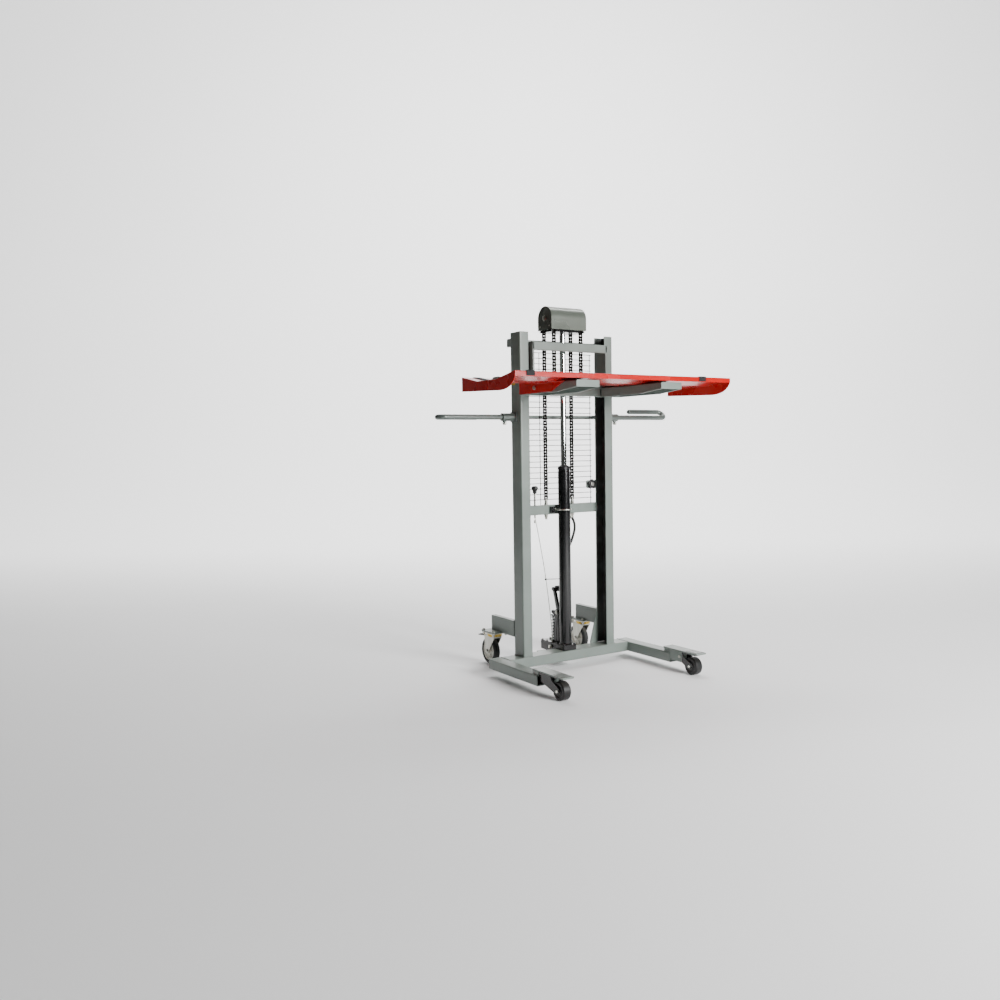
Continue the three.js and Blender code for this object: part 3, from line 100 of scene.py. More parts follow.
class Graph:
    """Adds nodes to one node tree and joins them."""

    def __init__(self, tree: bpy.types.NodeTree) -> None:
        """Keep the tree that nodes are added to."""
        self.tree = tree

    def add(self, kind: str, inputs: dict | None = None, **settings: object) -> bpy.types.Node:
        """Make a node.

        Args:
            kind: Blender's name of the node type.
            inputs: Value or socket for each input, by name or number.
            **settings: Properties of the node itself.

        Returns:
            The new node.
        """
        node = self.tree.nodes.new(kind)
        for key, value in settings.items():
            setattr(node, key, value)
        for key, value in (inputs or {}).items():
            if isinstance(value, bpy.types.NodeSocket):
                self.tree.links.new(value, node.inputs[key])
            else:
                node.inputs[key].default_value = value
        return node

    def math(self, operation: str, a: object, b: object = 0.0, clamp: bool = False) -> bpy.types.NodeSocket:
        """Result of a Math node on two values or sockets."""
        node = self.add("ShaderNodeMath", {0: a, 1: b}, operation=operation, use_clamp=clamp)
        return node.outputs[0]

    def remap(self, value: object, low: float, high: float, to: Flat = (0.0, 1.0)) -> bpy.types.NodeSocket:
        """Value carried smoothly and clamped from low..high to another range."""
        inputs = {"Value": value, "From Min": low, "From Max": high, "To Min": to[0], "To Max": to[1]}
        return self.add("ShaderNodeMapRange", inputs, interpolation_type="SMOOTHSTEP").outputs[0]

    def blend(self, factor: object, a: object, b: object) -> bpy.types.NodeSocket:
        """Colour between a and b."""
        colours = {6: a if isinstance(a, bpy.types.NodeSocket) else (*a, 1.0),
                   7: b if isinstance(b, bpy.types.NodeSocket) else (*b, 1.0)}
        node = self.add("ShaderNodeMix", {0: factor, **colours}, data_type="RGBA")
        return node.outputs[2]

    def noise(self, vector: object, scale: object, detail: float = 3.0) -> bpy.types.NodeSocket:
        """Value of a noise texture."""
        inputs = {"Vector": vector, "Scale": scale, "Detail": detail}
        return self.add("ShaderNodeTexNoise", inputs).outputs[0]

    def bands(self, value: object, per_metre: float) -> bpy.types.NodeSocket:
        """Soft ridge from 0 to 1, repeated along a value in metres."""
        angle = self.math("MULTIPLY", value, 2 * math.pi * per_metre)
        return self.remap(self.math("SINE", angle), -1.0, 1.0)


class Effect(Enum):
    """Shared surface effects, each a node group."""

    SKIN = "sprayed skin"
    EDGE = "edge wear"
    DUST = "settled dust"
    BRUSH = "drawn streaks"
    # Painted shade inside the mast channels, with the oily gloss of their roller track.
    SHADE_AND_GREASE = "shaded oily track"
    WEAVE = "webbing weave"
    RINGS = "turned rings"


class EffectShop:
    """Builds each shared effect once, as a node group that gives out masks and values."""

    def __init__(self) -> None:
        """Start with nothing built."""
        self.built: dict[Effect, bpy.types.NodeTree] = {}

    def place(self, graph: Graph, effect: Effect, inputs: dict) -> bpy.types.Node:
        """Place an effect in a material, with its own values."""
        if effect not in self.built:
            self.built[effect] = self.build(effect)
        node = graph.add("ShaderNodeGroup", node_tree=self.built[effect])
        for key, value in inputs.items():
            if isinstance(value, bpy.types.NodeSocket):
                graph.tree.links.new(value, node.inputs[key])
            else:
                node.inputs[key].default_value = value
        return node

    def build(self, effect: Effect) -> bpy.types.NodeTree:
        """Make the node group of an effect."""
        makers: dict[Effect, Callable[[Graph, dict], dict]] = {
            Effect.SKIN: self.skin, Effect.EDGE: self.edge, Effect.DUST: self.dust,
            Effect.BRUSH: self.brush, Effect.SHADE_AND_GREASE: self.shade_and_grease, Effect.WEAVE: self.weave,
            Effect.RINGS: self.rings,
        }
        sockets = {
            Effect.SKIN: ("Vector", "Fine", "Coarse"), Effect.EDGE: ("Vector", "Width", "Amount"),
            Effect.DUST: ("Vector", "Amount"), Effect.BRUSH: ("Vector", "Scale"),
            Effect.SHADE_AND_GREASE: ("Vector",), Effect.WEAVE: ("Vector",), Effect.RINGS: ("Vector", "Scale"),
        }
        tree = bpy.data.node_groups.new(effect.value, "ShaderNodeTree")
        for name in sockets[effect]:
            kind = "NodeSocketVector" if name == "Vector" else "NodeSocketFloat"
            tree.interface.new_socket(name, in_out="INPUT", socket_type=kind)
        graph = Graph(tree)
        entry = graph.add("NodeGroupInput")
        results = makers[effect](graph, entry.outputs)
        for name in results:
            tree.interface.new_socket(name, in_out="OUTPUT", socket_type="NodeSocketFloat")
        leave = graph.add("NodeGroupOutput")
        for name, socket in results.items():
            tree.links.new(socket, leave.inputs[name])
        return tree

    @staticmethod
    def skin(graph: Graph, entry: dict) -> dict:
        """Orange-peel height and slow tone changes of a sprayed or moulded surface."""
        height = graph.noise(entry["Vector"], entry["Fine"], 2.0)
        tone = graph.noise(entry["Vector"], entry["Coarse"], 5.0)
        return {"Height": height, "Tone": graph.remap(tone, 0.3, 0.7)}

    @staticmethod
    def edge(graph: Graph, entry: dict) -> dict:
        """Mask along sharp edges, broken up so that wear comes and goes."""
        bevel = graph.add("ShaderNodeBevel", {"Radius": entry["Width"]}, samples=4)
        normal = graph.add("ShaderNodeNewGeometry").outputs["Normal"]
        dot = graph.add("ShaderNodeVectorMath", {0: bevel.outputs[0], 1: normal}, operation="DOT_PRODUCT")
        sharp = graph.remap(graph.math("SUBTRACT", 1.0, dot.outputs["Value"]), 0.02, 0.2)
        breakup = graph.remap(graph.noise(entry["Vector"], 55.0, 6.0), 0.5, 0.68)
        return {"Mask": graph.math("MULTIPLY", graph.math("MULTIPLY", sharp, breakup), entry["Amount"])}

    @staticmethod
    def dust(graph: Graph, entry: dict) -> dict:
        """Mask of fine dust on faces that look up."""
        normal = graph.add("ShaderNodeNewGeometry").outputs["Normal"]
        up = graph.add("ShaderNodeSeparateXYZ", {0: normal}).outputs["Z"]
        cloud = graph.remap(graph.noise(entry["Vector"], 14.0, 6.0), 0.35, 0.75, (0.25, 1.0))
        fall = graph.math("MULTIPLY", graph.remap(up, 0.35, 0.95), cloud)
        return {"Mask": graph.math("MULTIPLY", fall, entry["Amount"])}

    @staticmethod
    def brush(graph: Graph, entry: dict) -> dict:
        """Long fine streaks that run up the piece."""
        spread = graph.add("ShaderNodeVectorMath", {0: entry["Vector"], 1: (1.0, 1.0, 0.03)},
                           operation="MULTIPLY").outputs[0]
        streak = graph.noise(spread, entry["Scale"], 4.0)
        return {"Height": streak, "Tone": graph.remap(streak, 0.35, 0.65)}

    @staticmethod
    def rings(graph: Graph, entry: dict) -> dict:
        """Fine rings left by turning about a level axis along X."""
        spread = graph.add("ShaderNodeVectorMath", {0: entry["Vector"], 1: (1.0, 0.05, 0.05)},
                           operation="MULTIPLY").outputs[0]
        ring = graph.noise(spread, entry["Scale"], 3.0)
        return {"Height": ring, "Tone": graph.remap(ring, 0.35, 0.65)}

    @staticmethod
    def shade_and_grease(graph: Graph, entry: dict) -> dict:
        """Mask of the darkened inside of the two mast channels: painted shade in the recess, a little weaker
        near the floor, with the oily gloss of the roller track.
        """
        place = graph.add("ShaderNodeSeparateXYZ", {0: entry["Vector"]}).outputs
        out = graph.math("ABSOLUTE", place["X"])
        across = graph.math("ABSOLUTE", graph.math("SUBTRACT", place["Y"], 0.0875))
        deep = graph.math("MULTIPLY", graph.remap(out, 0.2458, 0.2448), graph.remap(out, 0.2055, 0.2125))
        inside = graph.math("MULTIPLY", deep, graph.remap(across, 0.0334, 0.0322))
        low = graph.remap(place["Z"], 0.2, 0.34)
        patchiness = graph.remap(graph.noise(entry["Vector"], 22.0, 6.0), 0.3, 0.55, (0.82, 1.0))
        mask = graph.math("MULTIPLY", graph.math("MULTIPLY", inside, patchiness),
                          graph.remap(low, 0.0, 1.0, (0.72, 1.0)))
        return {"Mask": mask}

    @staticmethod
    def weave(graph: Graph, entry: dict) -> dict:
        """Herringbone ribs of a webbing strap that lies along Y and hangs along Z."""
        place = graph.add("ShaderNodeSeparateXYZ", {0: entry["Vector"]}).outputs
        along = graph.math("ADD", place["Y"], place["Z"])
        slant = graph.math("PINGPONG", place["X"], 0.0048)
        rib = graph.bands(graph.math("ADD", along, slant), 560.0)
        cord = graph.bands(place["X"], 700.0)
        return {"Height": graph.math("MULTIPLY", rib, cord), "Tone": rib}


EFFECTS = EffectShop()


class Surface(Enum):
    """Ways that a surface was made, which set its fine texture."""

    SPRAYED = auto()
    DRAWN = auto()
    TURNED = auto()
    MOULDED = auto()
    WOVEN = auto()


@dataclass(frozen=True)
class Finish:
    """One finish of the machine, with the numbers that its material is built from."""

    name: str
    slot: str
    surface: Surface
    colour: str
    roughness: float
    metallic: float = 0.0
    coat: float = 0.0
    fine: float = 900.0
    relief: float = 0.00006
    tone: float = 0.10
    wear: float = 0.0
    bare: str = "8d8d88"
    wear_width: float = 0.0012
    dust: float = 0.0
    shaded_and_greased: bool = False

    def material(self) -> bpy.types.Material:
        """Build the material, or give back the one already built."""
        known = bpy.data.materials.get(self.name)
        if known:
            return known
        made = bpy.data.materials.new(self.name)
        made.use_nodes = True
        made.node_tree.nodes.clear()
        graph = Graph(made.node_tree)
        place = graph.add("ShaderNodeTexCoord").outputs["Object"]
        height, tone = self.texture(graph, place)
        base = from_hex(self.colour)
        dark = tuple(v * (1 - self.tone) for v in base)
        light = tuple(min(1.0, v * (1 + self.tone)) for v in base)
        colour = graph.blend(tone, dark, light)
        rough = graph.remap(tone, 0.0, 1.0, (self.roughness * 0.88, self.roughness * 1.12))
        metal: object = self.metallic
        if self.shaded_and_greased:
            # Painted shade: this mask darkens the colour inside the mast channels; the lower roughness there
            # is oil on the roller track.
            track = EFFECTS.place(graph, Effect.SHADE_AND_GREASE, {"Vector": place}).outputs["Mask"]
            colour = graph.blend(track, colour, from_hex("1d1b18"))
            rough = graph.add("ShaderNodeMix", {0: track, 2: rough, 3: 0.34}).outputs[0]
        if self.wear:
            inputs = {"Vector": place, "Width": self.wear_width, "Amount": self.wear}
            worn = EFFECTS.place(graph, Effect.EDGE, inputs).outputs["Mask"]
            colour = graph.blend(worn, colour, from_hex(self.bare))
            if self.metallic < 1.0:
                metal = graph.math("MAXIMUM", graph.math("MULTIPLY", worn, 0.9), self.metallic)
        if self.dust:
            fallen = EFFECTS.place(graph, Effect.DUST, {"Vector": place, "Amount": self.dust}).outputs["Mask"]
            colour = graph.blend(fallen, colour, from_hex("a39c8e"))
            rough = graph.add("ShaderNodeMix", {0: fallen, 2: rough, 3: 0.85}).outputs[0]
        bump = graph.add("ShaderNodeBump", {"Height": height, "Distance": self.relief, "Strength": 1.0})
        inputs = {"Base Color": colour, "Roughness": rough, "Metallic": metal, "Normal": bump.outputs[0],
                  "Coat Weight": self.coat, "Coat Roughness": 0.12}
        shader = graph.add("ShaderNodeBsdfPrincipled", inputs)
        graph.add("ShaderNodeOutputMaterial", {"Surface": shader.outputs[0]})
        return made

    def texture(self, graph: Graph, place: bpy.types.NodeSocket) -> tuple:
        """Height and tone sockets of the way that the surface was made."""
        effects = {
            Surface.SPRAYED: (Effect.SKIN, {"Fine": self.fine, "Coarse": 7.0}),
            Surface.MOULDED: (Effect.SKIN, {"Fine": self.fine, "Coarse": 30.0}),
            Surface.DRAWN: (Effect.BRUSH, {"Scale": self.fine}),
            Surface.TURNED: (Effect.RINGS, {"Scale": self.fine}),
            Surface.WOVEN: (Effect.WEAVE, {}),
        }
        effect, inputs = effects[self.surface]
        node = EFFECTS.place(graph, effect, {"Vector": place, **inputs})
        return node.outputs["Height"], node.outputs["Tone"]


FRAME_PAINT = Finish("grey frame paint", "frame_grey", Surface.SPRAYED, "6f7973", 0.38, coat=0.15,
                     wear=0.5, bare="6f716c", dust=0.16, tone=0.06)
# Frame paint with painted shade darkening the insides of the mast channels.
MAST_PAINT = Finish("grey mast paint", "frame_grey", Surface.SPRAYED, "6f7973", 0.38, coat=0.15,
                    wear=0.55, bare="6f716c", dust=0.1, tone=0.06, shaded_and_greased=True)
HANDLE_PAINT = Finish("grey handle paint", "frame_grey", Surface.SPRAYED, "5d6561", 0.34, coat=0.25,
                      metallic=0.4, wear=0.5, bare="8f8f89", dust=0.1, tone=0.07)
COVER_PAINT = Finish("grey cover paint", "frame_grey", Surface.SPRAYED, "626860", 0.26, coat=0.35,
                     metallic=0.35, wear=0.4, bare="9a9a92", dust=0.12, tone=0.07)
RED_PAINT = Finish("red cradle paint", "cradle_red", Surface.SPRAYED, "b00a04", 0.26, coat=0.2,
                   wear=0.55, bare="5b1a12", dust=0.04, tone=0.08)
BLACK_PAINT = Finish("black ram paint", "satin_black", Surface.SPRAYED, "090a0b", 0.2, coat=0.2,
                     wear=0.5, bare="5c5c5a", dust=0.06, tone=0.2, relief=0.00004)
BLACK_OXIDE = Finish("blackened steel", "satin_black", Surface.DRAWN, "202022", 0.42, metallic=0.6,
                     fine=420.0, relief=0.00003, tone=0.25, wear=0.6, bare="77777a")
ZINC = Finish("bright zinc plate", "zinc_plate", Surface.DRAWN, "b9b9b1", 0.32, metallic=1.0,
              fine=260.0, relief=0.00003, tone=0.13, wear=0.3, bare="7c7a72", dust=0.1)
YELLOW_ZINC = Finish("yellow passivated zinc", "zinc_plate", Surface.DRAWN, "c7a64e", 0.3, metallic=1.0,
                     fine=240.0, relief=0.00003, tone=0.22, wear=0.3, bare="8e8a7a", dust=0.05)
ROLLER_STEEL = Finish("turned roller steel", "roller_steel", Surface.TURNED, "8b8a86", 0.3, metallic=1.0,
                      fine=1500.0, relief=0.00004, tone=0.16, wear=0.3, bare="c0c0bb")
CHROME = Finish("hard chrome", "chrome_rod", Surface.DRAWN, "dfe1e2", 0.07, metallic=1.0,
                fine=900.0, relief=0.000006, tone=0.03)
OILED_CHAIN = Finish("oiled chain steel", "chain_black", Surface.DRAWN, "1d1c1a", 0.3, metallic=0.85,
                     fine=500.0, relief=0.00003, tone=0.35, wear=0.55, bare="85827a", wear_width=0.0006)
GUARD_STEEL = Finish("blackened guard wire", "guard_wire", Surface.SPRAYED, "2b2c2b", 0.42, metallic=0.3,
                     fine=1200.0, relief=0.00003, tone=0.25, wear=0.35, bare="767672", wear_width=0.0005)
HOSE_RUBBER = Finish("hose rubber", "hose_rubber", Surface.MOULDED, "0c0c0c", 0.55, fine=2600.0,
                     relief=0.00008, tone=0.2, dust=0.04)
CABLE_STEEL = Finish("galvanised strand", "cable_steel", Surface.DRAWN, "b4b4ae", 0.36, metallic=0.95,
                     fine=1300.0, relief=0.00008, tone=0.3)
KNOB_PLASTIC = Finish("moulded knob plastic", "knob_plastic", Surface.MOULDED, "141414", 0.38,
                      fine=1800.0, relief=0.00004, tone=0.15, wear=0.2, bare="3c3c3a")
WHEEL_NYLON = Finish("black wheel nylon", "front_wheel", Surface.MOULDED, "0c0c0c", 0.42, fine=1100.0,
                     relief=0.00007, tone=0.25, wear=0.3, bare="4a4946", dust=0.06)
TYRE_RUBBER = Finish("black tyre rubber", "caster_tyre", Surface.MOULDED, "1a1a19", 0.62, fine=1500.0,
                     relief=0.0001, tone=0.25, wear=0.35, bare="4c4a45", dust=0.22)
HUB_PLASTIC = Finish("pale hub nylon", "caster_tyre", Surface.MOULDED, "cfcdc2", 0.42, fine=900.0,
                     relief=0.00005, tone=0.08, wear=0.2, bare="8f8c80", dust=0.2)
# Darker copy of the frame's paint, used as painted shade on the front cover plates.
SHADE_PATCH_PAINT = Finish("painted shade patch", "frame_grey", Surface.SPRAYED, "3c453c", 0.4, coat=0.3, dust=0.08)
WEBBING = Finish("black webbing", "strap_webbing", Surface.WOVEN, "1b1b1d", 0.86, relief=0.0005, tone=0.4)
YELLOW_FILM = Finish("yellow film", "frame_grey", Surface.MOULDED, "e0b31a", 0.4, fine=500.0,
                     relief=0.00002, tone=0.06, dust=0.1)


# ------------------------------------------------------------------ mesh parts


def spot(axis: str, along: float, across: Flat) -> Vector:
    """Point at a distance along an axis and at two values across it, in x, y, z order."""
    a, b = across
    if axis == "x":
        return Vector((along, a, b))
    return Vector((a, along, b)) if axis == "y" else Vector((a, b, along))


def rounded(points: Sequence[Flat], radius: float | Sequence[float], closed: bool = True,
            steps: int = 4) -> list[Flat]:
    """Round the corners of a line of flat points.

    Args:
        points: The corners.
        radius: One radius for all corners, or one for each.
        closed: Whether the last point joins the first.
        steps: Short sides at each corner.

    Returns:
        The rounded line.
    """
    count = len(points)
    radii = [radius] * count if isinstance(radius, (int, float)) else list(radius)
    line: list[Vector] = []
    for i, corner in enumerate(points):
        here = Vector(corner)
        before, after = Vector(points[i - 1]) - here, Vector(points[(i + 1) % count]) - here
        if (not closed and i in (0, count - 1)) or radii[i] <= 0:
            line.append(here)
            continue
        turn = before.angle(after, math.pi)
        if turn > math.radians(176):
            line.append(here)
            continue
        reach = min(radii[i] / math.tan(turn / 2), before.length * 0.48, after.length * 0.48)
        start, end = here + before.normalized() * reach, here + after.normalized() * reach
        for step in range(steps + 1):
            t = step / steps
            line.append(start * (1 - t) ** 2 + here * (2 * t * (1 - t)) + end * t * t)
    kept = [p for i, p in enumerate(line) if i == 0 or (p - line[i - 1]).length > 1e-3]
    return [(p.x, p.y) for p in kept]


def shifted(points: Sequence[Flat], distance: float, closed: bool = True) -> list[Flat]:
    """Move a line sideways, to its left for a positive distance, keeping its corners square."""
    count = len(points)
    moved: list[Flat] = []
    for i in range(count):
        here = Vector(points[i])
        back = Vector(points[i - 1]) if closed or i else None
        on = Vector(points[(i + 1) % count]) if closed or i < count - 1 else None
        ways = [(here - back).normalized()] if back is not None else []
        ways += [(on - here).normalized()] if on is not None else []
        sides = [Vector((-w.y, w.x)) for w in ways]
        total = sides[0] + sides[-1]
        share = distance / max(0.4, 1 + sides[0].dot(sides[-1]))
        moved.append((here.x + total.x * share, here.y + total.y * share))
    return moved


def anticlockwise(outline: Sequence[Flat]) -> list[Flat]:
    """The outline with its inside on the left."""
    count = len(outline)
    area = sum(outline[i][0] * outline[(i + 1) % count][1] - outline[(i + 1) % count][0] * outline[i][1]
               for i in range(count))
    return list(outline) if area > 0 else list(reversed(outline))


def folded(path: Sequence[Flat], thickness: float) -> list[Flat]:
    """Outline of a sheet of even thickness whose middle follows a path."""
    left = shifted(path, thickness / 2, closed=False)
    right = shifted(path, -thickness / 2, closed=False)
    return left + right[::-1]


def rectangle(a: Flat, b: Flat, radius: float, steps: int = 4) -> list[Flat]:
    """Rounded rectangle between two values on each flat axis."""
    return rounded([(a[0], b[0]), (a[1], b[0]), (a[1], b[1]), (a[0], b[1])], radius, steps=steps)


def bridge(bm: bmesh.types.BMesh, rings: Sequence[Sequence], wrap: bool = False) -> None:
    """Join rings of vertices with faces; a ring of one vertex is a pole."""
    pairs = list(zip(rings, rings[1:]))
    if wrap:
        pairs.append((rings[-1], rings[0]))
    for a, b in pairs:
        size = max(len(a), len(b))
        for k in range(size):
            n = (k + 1) % size
            corners = [a[k % len(a)], a[n % len(a)], b[n % len(b)], b[k % len(b)]]
            bm.faces.new(list(dict.fromkeys(corners)))


def prism(bm: bmesh.types.BMesh, outline: Sequence[Flat], span: Flat, axis: str = "z",
          rim: float = 0.5, hole: Sequence[Flat] | None = None) -> None:
    """Plate or bar of any outline, with softened rims.

    Args:
        bm: Mesh to add to.
        outline: [Y, Z] points along x, [X, Z] along y, [X, Y] along z.
        span: Where it starts and ends along the axis.
        axis: The axis that it follows.
        rim: Size of the softened edge at both ends.
        hole: Outline of a hollow, with as many points as the outside.
    """
    low, high = min(span), max(span)
    outside = anticlockwise(outline)
    levels = [(low, rim), (low + rim * 0.3, rim * 0.3), (low + rim, 0.0),
              (high - rim, 0.0), (high - rim * 0.3, rim * 0.3), (high, rim)]

    def ring(points: Sequence[Flat], inset: float, along: float) -> list:
        """Ring of vertices at one level."""
        return [bm.verts.new(spot(axis, along, p)) for p in shifted(points, inset)]

    rings = [ring(outside, inset, along) for along, inset in levels]
    bridge(bm, rings)
    if hole is None:
        bm.faces.new(rings[0][::-1])
        bm.faces.new(rings[-1])
        return
    inside = anticlockwise(hole)
    inner = [ring(inside, -inset, along) for along, inset in levels]
    bridge(bm, inner)
    bridge(bm, [rings[0], inner[0]])
    bridge(bm, [rings[-1], inner[-1]])


def block(bm: bmesh.types.BMesh, x: Flat, y: Flat, z: Flat, radius: float = 1.0, axis: str = "z",
          rim: float = 0.6) -> None:
    """Block with rounded edges, whose larger rounding runs along one axis."""
    spans = {"x": (y, z, x), "y": (x, z, y), "z": (x, y, z)}[axis]
    prism(bm, rectangle(tuple(sorted(spans[0])), tuple(sorted(spans[1])), radius), spans[2], axis, rim)


def lathe(bm: bmesh.types.BMesh, profile: Sequence[Flat], axis: str = "z", centre: Flat = (0.0, 0.0),
          segments: int = 48, closed: bool = False) -> None:
    """Turned piece from [radius, along] points; a closed profile makes a ring."""
    rings = []
    for radius, along in profile:
        if radius < 1e-6:
            rings.append([bm.verts.new(spot(axis, along, centre))])
            continue
        rings.append([bm.verts.new(spot(axis, along, (
            centre[0] + radius * math.cos(2 * math.pi * k / segments),
            centre[1] + radius * math.sin(2 * math.pi * k / segments)))) for k in range(segments)])
    bridge(bm, rings, wrap=closed)


def turned(bm: bmesh.types.BMesh, profile: Sequence[Flat], axis: str = "z", centre: Flat = (0.0, 0.0),
           ease: float = 0.8, segments: int = 48, closed: bool = False) -> None:
    """Turned piece with eased corners."""
    lathe(bm, rounded(profile, ease, closed=closed, steps=3), axis, centre, segments, closed)


def disc(bm: bmesh.types.BMesh, radius: float, span: Flat, axis: str = "z", centre: Flat = (0.0, 0.0),
         ease: float = 0.6, segments: int = 48) -> None:
    """Round bar or disc with eased rims."""
    low, high = min(span), max(span)
    turned(bm, [(0, low), (radius, low), (radius, high), (0, high)], axis, centre, ease, segments)


def collar(bm: bmesh.types.BMesh, inner: float, outer: float, span: Flat, axis: str = "z",
           centre: Flat = (0.0, 0.0), ease: float = 0.6, segments: int = 48) -> None:
    """Round tube with eased rims."""
    low, high = min(span), max(span)
    turned(bm, [(inner, low), (outer, low), (outer, high), (inner, high)], axis, centre, ease,
           segments, closed=True)


def sweep(bm: bmesh.types.BMesh, path: Sequence[Vector], radius: float | Sequence[float],
          sides: int = 16, round_ends: bool = False) -> None:
    """Round tube along a line of points, closed at both ends."""
    points = [Vector(p) for p in path]
    radii = [radius] * len(points) if isinstance(radius, (int, float)) else list(radius)
    start_way = (points[1] - points[0]).normalized()
    end_way = (points[-1] - points[-2]).normalized()
    if round_ends:
        angles = [math.radians(a) for a in (80, 55, 28)]
        first, last = radii[0], radii[-1]
        head = [(points[0] - start_way * first * math.sin(a), first * math.cos(a)) for a in angles]
        tail = [(points[-1] + end_way * last * math.sin(a), last * math.cos(a)) for a in reversed(angles)]
        points = [p for p, _ in head] + points + [p for p, _ in tail]
        radii = [r for _, r in head] + radii + [r for _, r in tail]
    helper = Vector((0, 0, 1)) if abs(start_way.z) < 0.9 else Vector((1, 0, 0))
    side = start_way.cross(helper).normalized()
    rings = []
    for i, point in enumerate(points):
        before, after = points[max(i - 1, 0)], points[min(i + 1, len(points) - 1)]
        way = (after - before).normalized()
        side = (side - way * side.dot(way)).normalized()
        up = way.cross(side)
        rings.append([bm.verts.new(point + (side * math.cos(t) + up * math.sin(t)) * radii[i])
                      for t in (2 * math.pi * k / sides for k in range(sides))])
    bridge(bm, rings)
    bm.faces.new(rings[0][::-1])
    bm.faces.new(rings[-1])


def smooth_line(points: Sequence[Sequence[float]], steps: int) -> list[Vector]:
    """Centripetal curve through points, with a number of steps in each span."""
    pts = [Vector(p) for p in points]
    ends = [pts[0] * 2 - pts[1], *pts, pts[-1] * 2 - pts[-2]]
    line = []
    for i in range(1, len(ends) - 2):
        a, b, c, d = ends[i - 1:i + 3]
        gaps = [max((q - p).length ** 0.5, 1e-4) for p, q in ((a, b), (b, c), (c, d))]
        ab, bc, cd = gaps
        leave = (b - a) / ab - (c - a) / (ab + bc) + (c - b) / bc
        arrive = (c - b) / bc - (d - b) / (bc + cd) + (d - c) / cd
        leave, arrive = leave * bc, arrive * bc
        for step in range(steps):
            t = step / steps
            line.append(b * (2 * t**3 - 3 * t**2 + 1) + leave * (t**3 - 2 * t**2 + t)
                        + c * (3 * t**2 - 2 * t**3) + arrive * (t**3 - t**2))
    line.append(pts[-1])
    return line


def bead(bm: bmesh.types.BMesh, path: Sequence[Sequence[float]], radius: float = 2.4) -> None:
    """Weld bead along a broken line, with the ripples of each pass."""
    corners = [Vector(p) for p in path]
    points: list[Vector] = []
    for a, b in zip(corners, corners[1:]):
        count = max(2, int((b - a).length / 1.7))
        points += [a.lerp(b, k / count) for k in range(count)]
    points.append(corners[-1])
    radii = [radius * (0.94 + 0.12 * math.sin(2.1 * k) + 0.05 * math.sin(0.37 * k))
             for k in range(len(points))]
    sweep(bm, points, radii, sides=8, round_ends=True)


def bolt(bm: bmesh.types.BMesh, axis: str, face: float, centre: Flat, flats: float, height: float,
         out: int = 1, washer: float = 1.5, stub: float = 0.0) -> None:
    """Hexagon head or nut on its washer.

    Args:
        bm: Mesh to add to.
        axis: Axis of the bolt.
        face: Where the face that it bears on lies along the axis.
        centre: Its place across the axis.
        flats: Size across the flats.
        height: Height of the hexagon.
        out: Which way the head points along the axis.
        washer: Thickness of the washer, or 0 for none.
        stub: Length of thread that shows past a nut.
    """
    if washer:
        disc(bm, flats * 0.66, (face, face + out * washer), axis, centre, 0.4, 28)
    base = face + out * washer
    corner = flats / math.sqrt(3)
    lathe(bm, [(0, base), (corner, base), (corner, base + out * height * 0.8),
               (corner * 0.86, base + out * height), (0, base + out * height)], axis, centre, 6)
    if stub:
        disc(bm, flats * 0.3, (base, base + out * (height + stub)), axis, centre, 0.6, 20)


def cap_screw(bm: bmesh.types.BMesh, axis: str, face: float, centre: Flat, radius: float,
              out: int = 1) -> None:
    """Socket-head screw with its hexagon recess shown as a step."""
    top = face + out * radius * 1.1
    turned(bm, [(0, face), (radius, face), (radius, top), (radius * 0.58, top),
                (radius * 0.5, top - out * radius * 0.6), (0, top - out * radius * 0.6)],
           axis, centre, 0.3, 24)


class Bench:
    """Sets meshes made in millimetres into the frame as finished pieces."""

    def __init__(self) -> None:
        """Find the cylinder's axis, which the millimetre meshes are measured from."""
        low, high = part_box("cylinder_tube")
        self.origin = Vector(((low.x + high.x) / 2, (low.y + high.y) / 2, 0.0))
        self.made = 0

    def set(self, name: str, bm: bmesh.types.BMesh, body: str | None, finish: Finish,
            *replaced: str, smooth: float = 40.0) -> bpy.types.Object:
        """Turn a mesh into a piece that rides on a body.

        Args:
            name: The piece's name.
            bm: The mesh, which is used up.
            body: The body it rides on, or None to leave it unattached.
            finish: Its finish.
            *replaced: CAD nodes that it stands for.
            smooth: Edges sharper than this many degrees stay crisp.

        Returns:
            The new object.
        """
        bmesh.ops.recalc_face_normals(bm, faces=bm.faces)
        for face in bm.faces:
            face.smooth = True
        for edge in bm.edges:
            edge.smooth = edge.is_manifold and edge.calc_face_angle(0.0) < math.radians(smooth)
        bm.transform(Matrix.Translation(self.origin) @ Matrix.Scale(0.001, 4))
        mesh = bpy.data.meshes.new(name)
        bm.to_mesh(mesh)
        bm.free()
        mesh.materials.append(finish.material())
        piece = bpy.data.objects.new(name, mesh)
        bpy.context.scene.collection.objects.link(piece)
        weighted = piece.modifiers.new("even shading", "WEIGHTED_NORMAL")
        weighted.keep_sharp = True
        if body:
            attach(piece, body)
        if replaced:
            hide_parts(*replaced)
        self.made += 1
        LOG.info("%s: %d faces", name, len(mesh.polygons))
        return piece


BENCH = Bench()


# ------------------------------------------------------------------ sub-assemblies


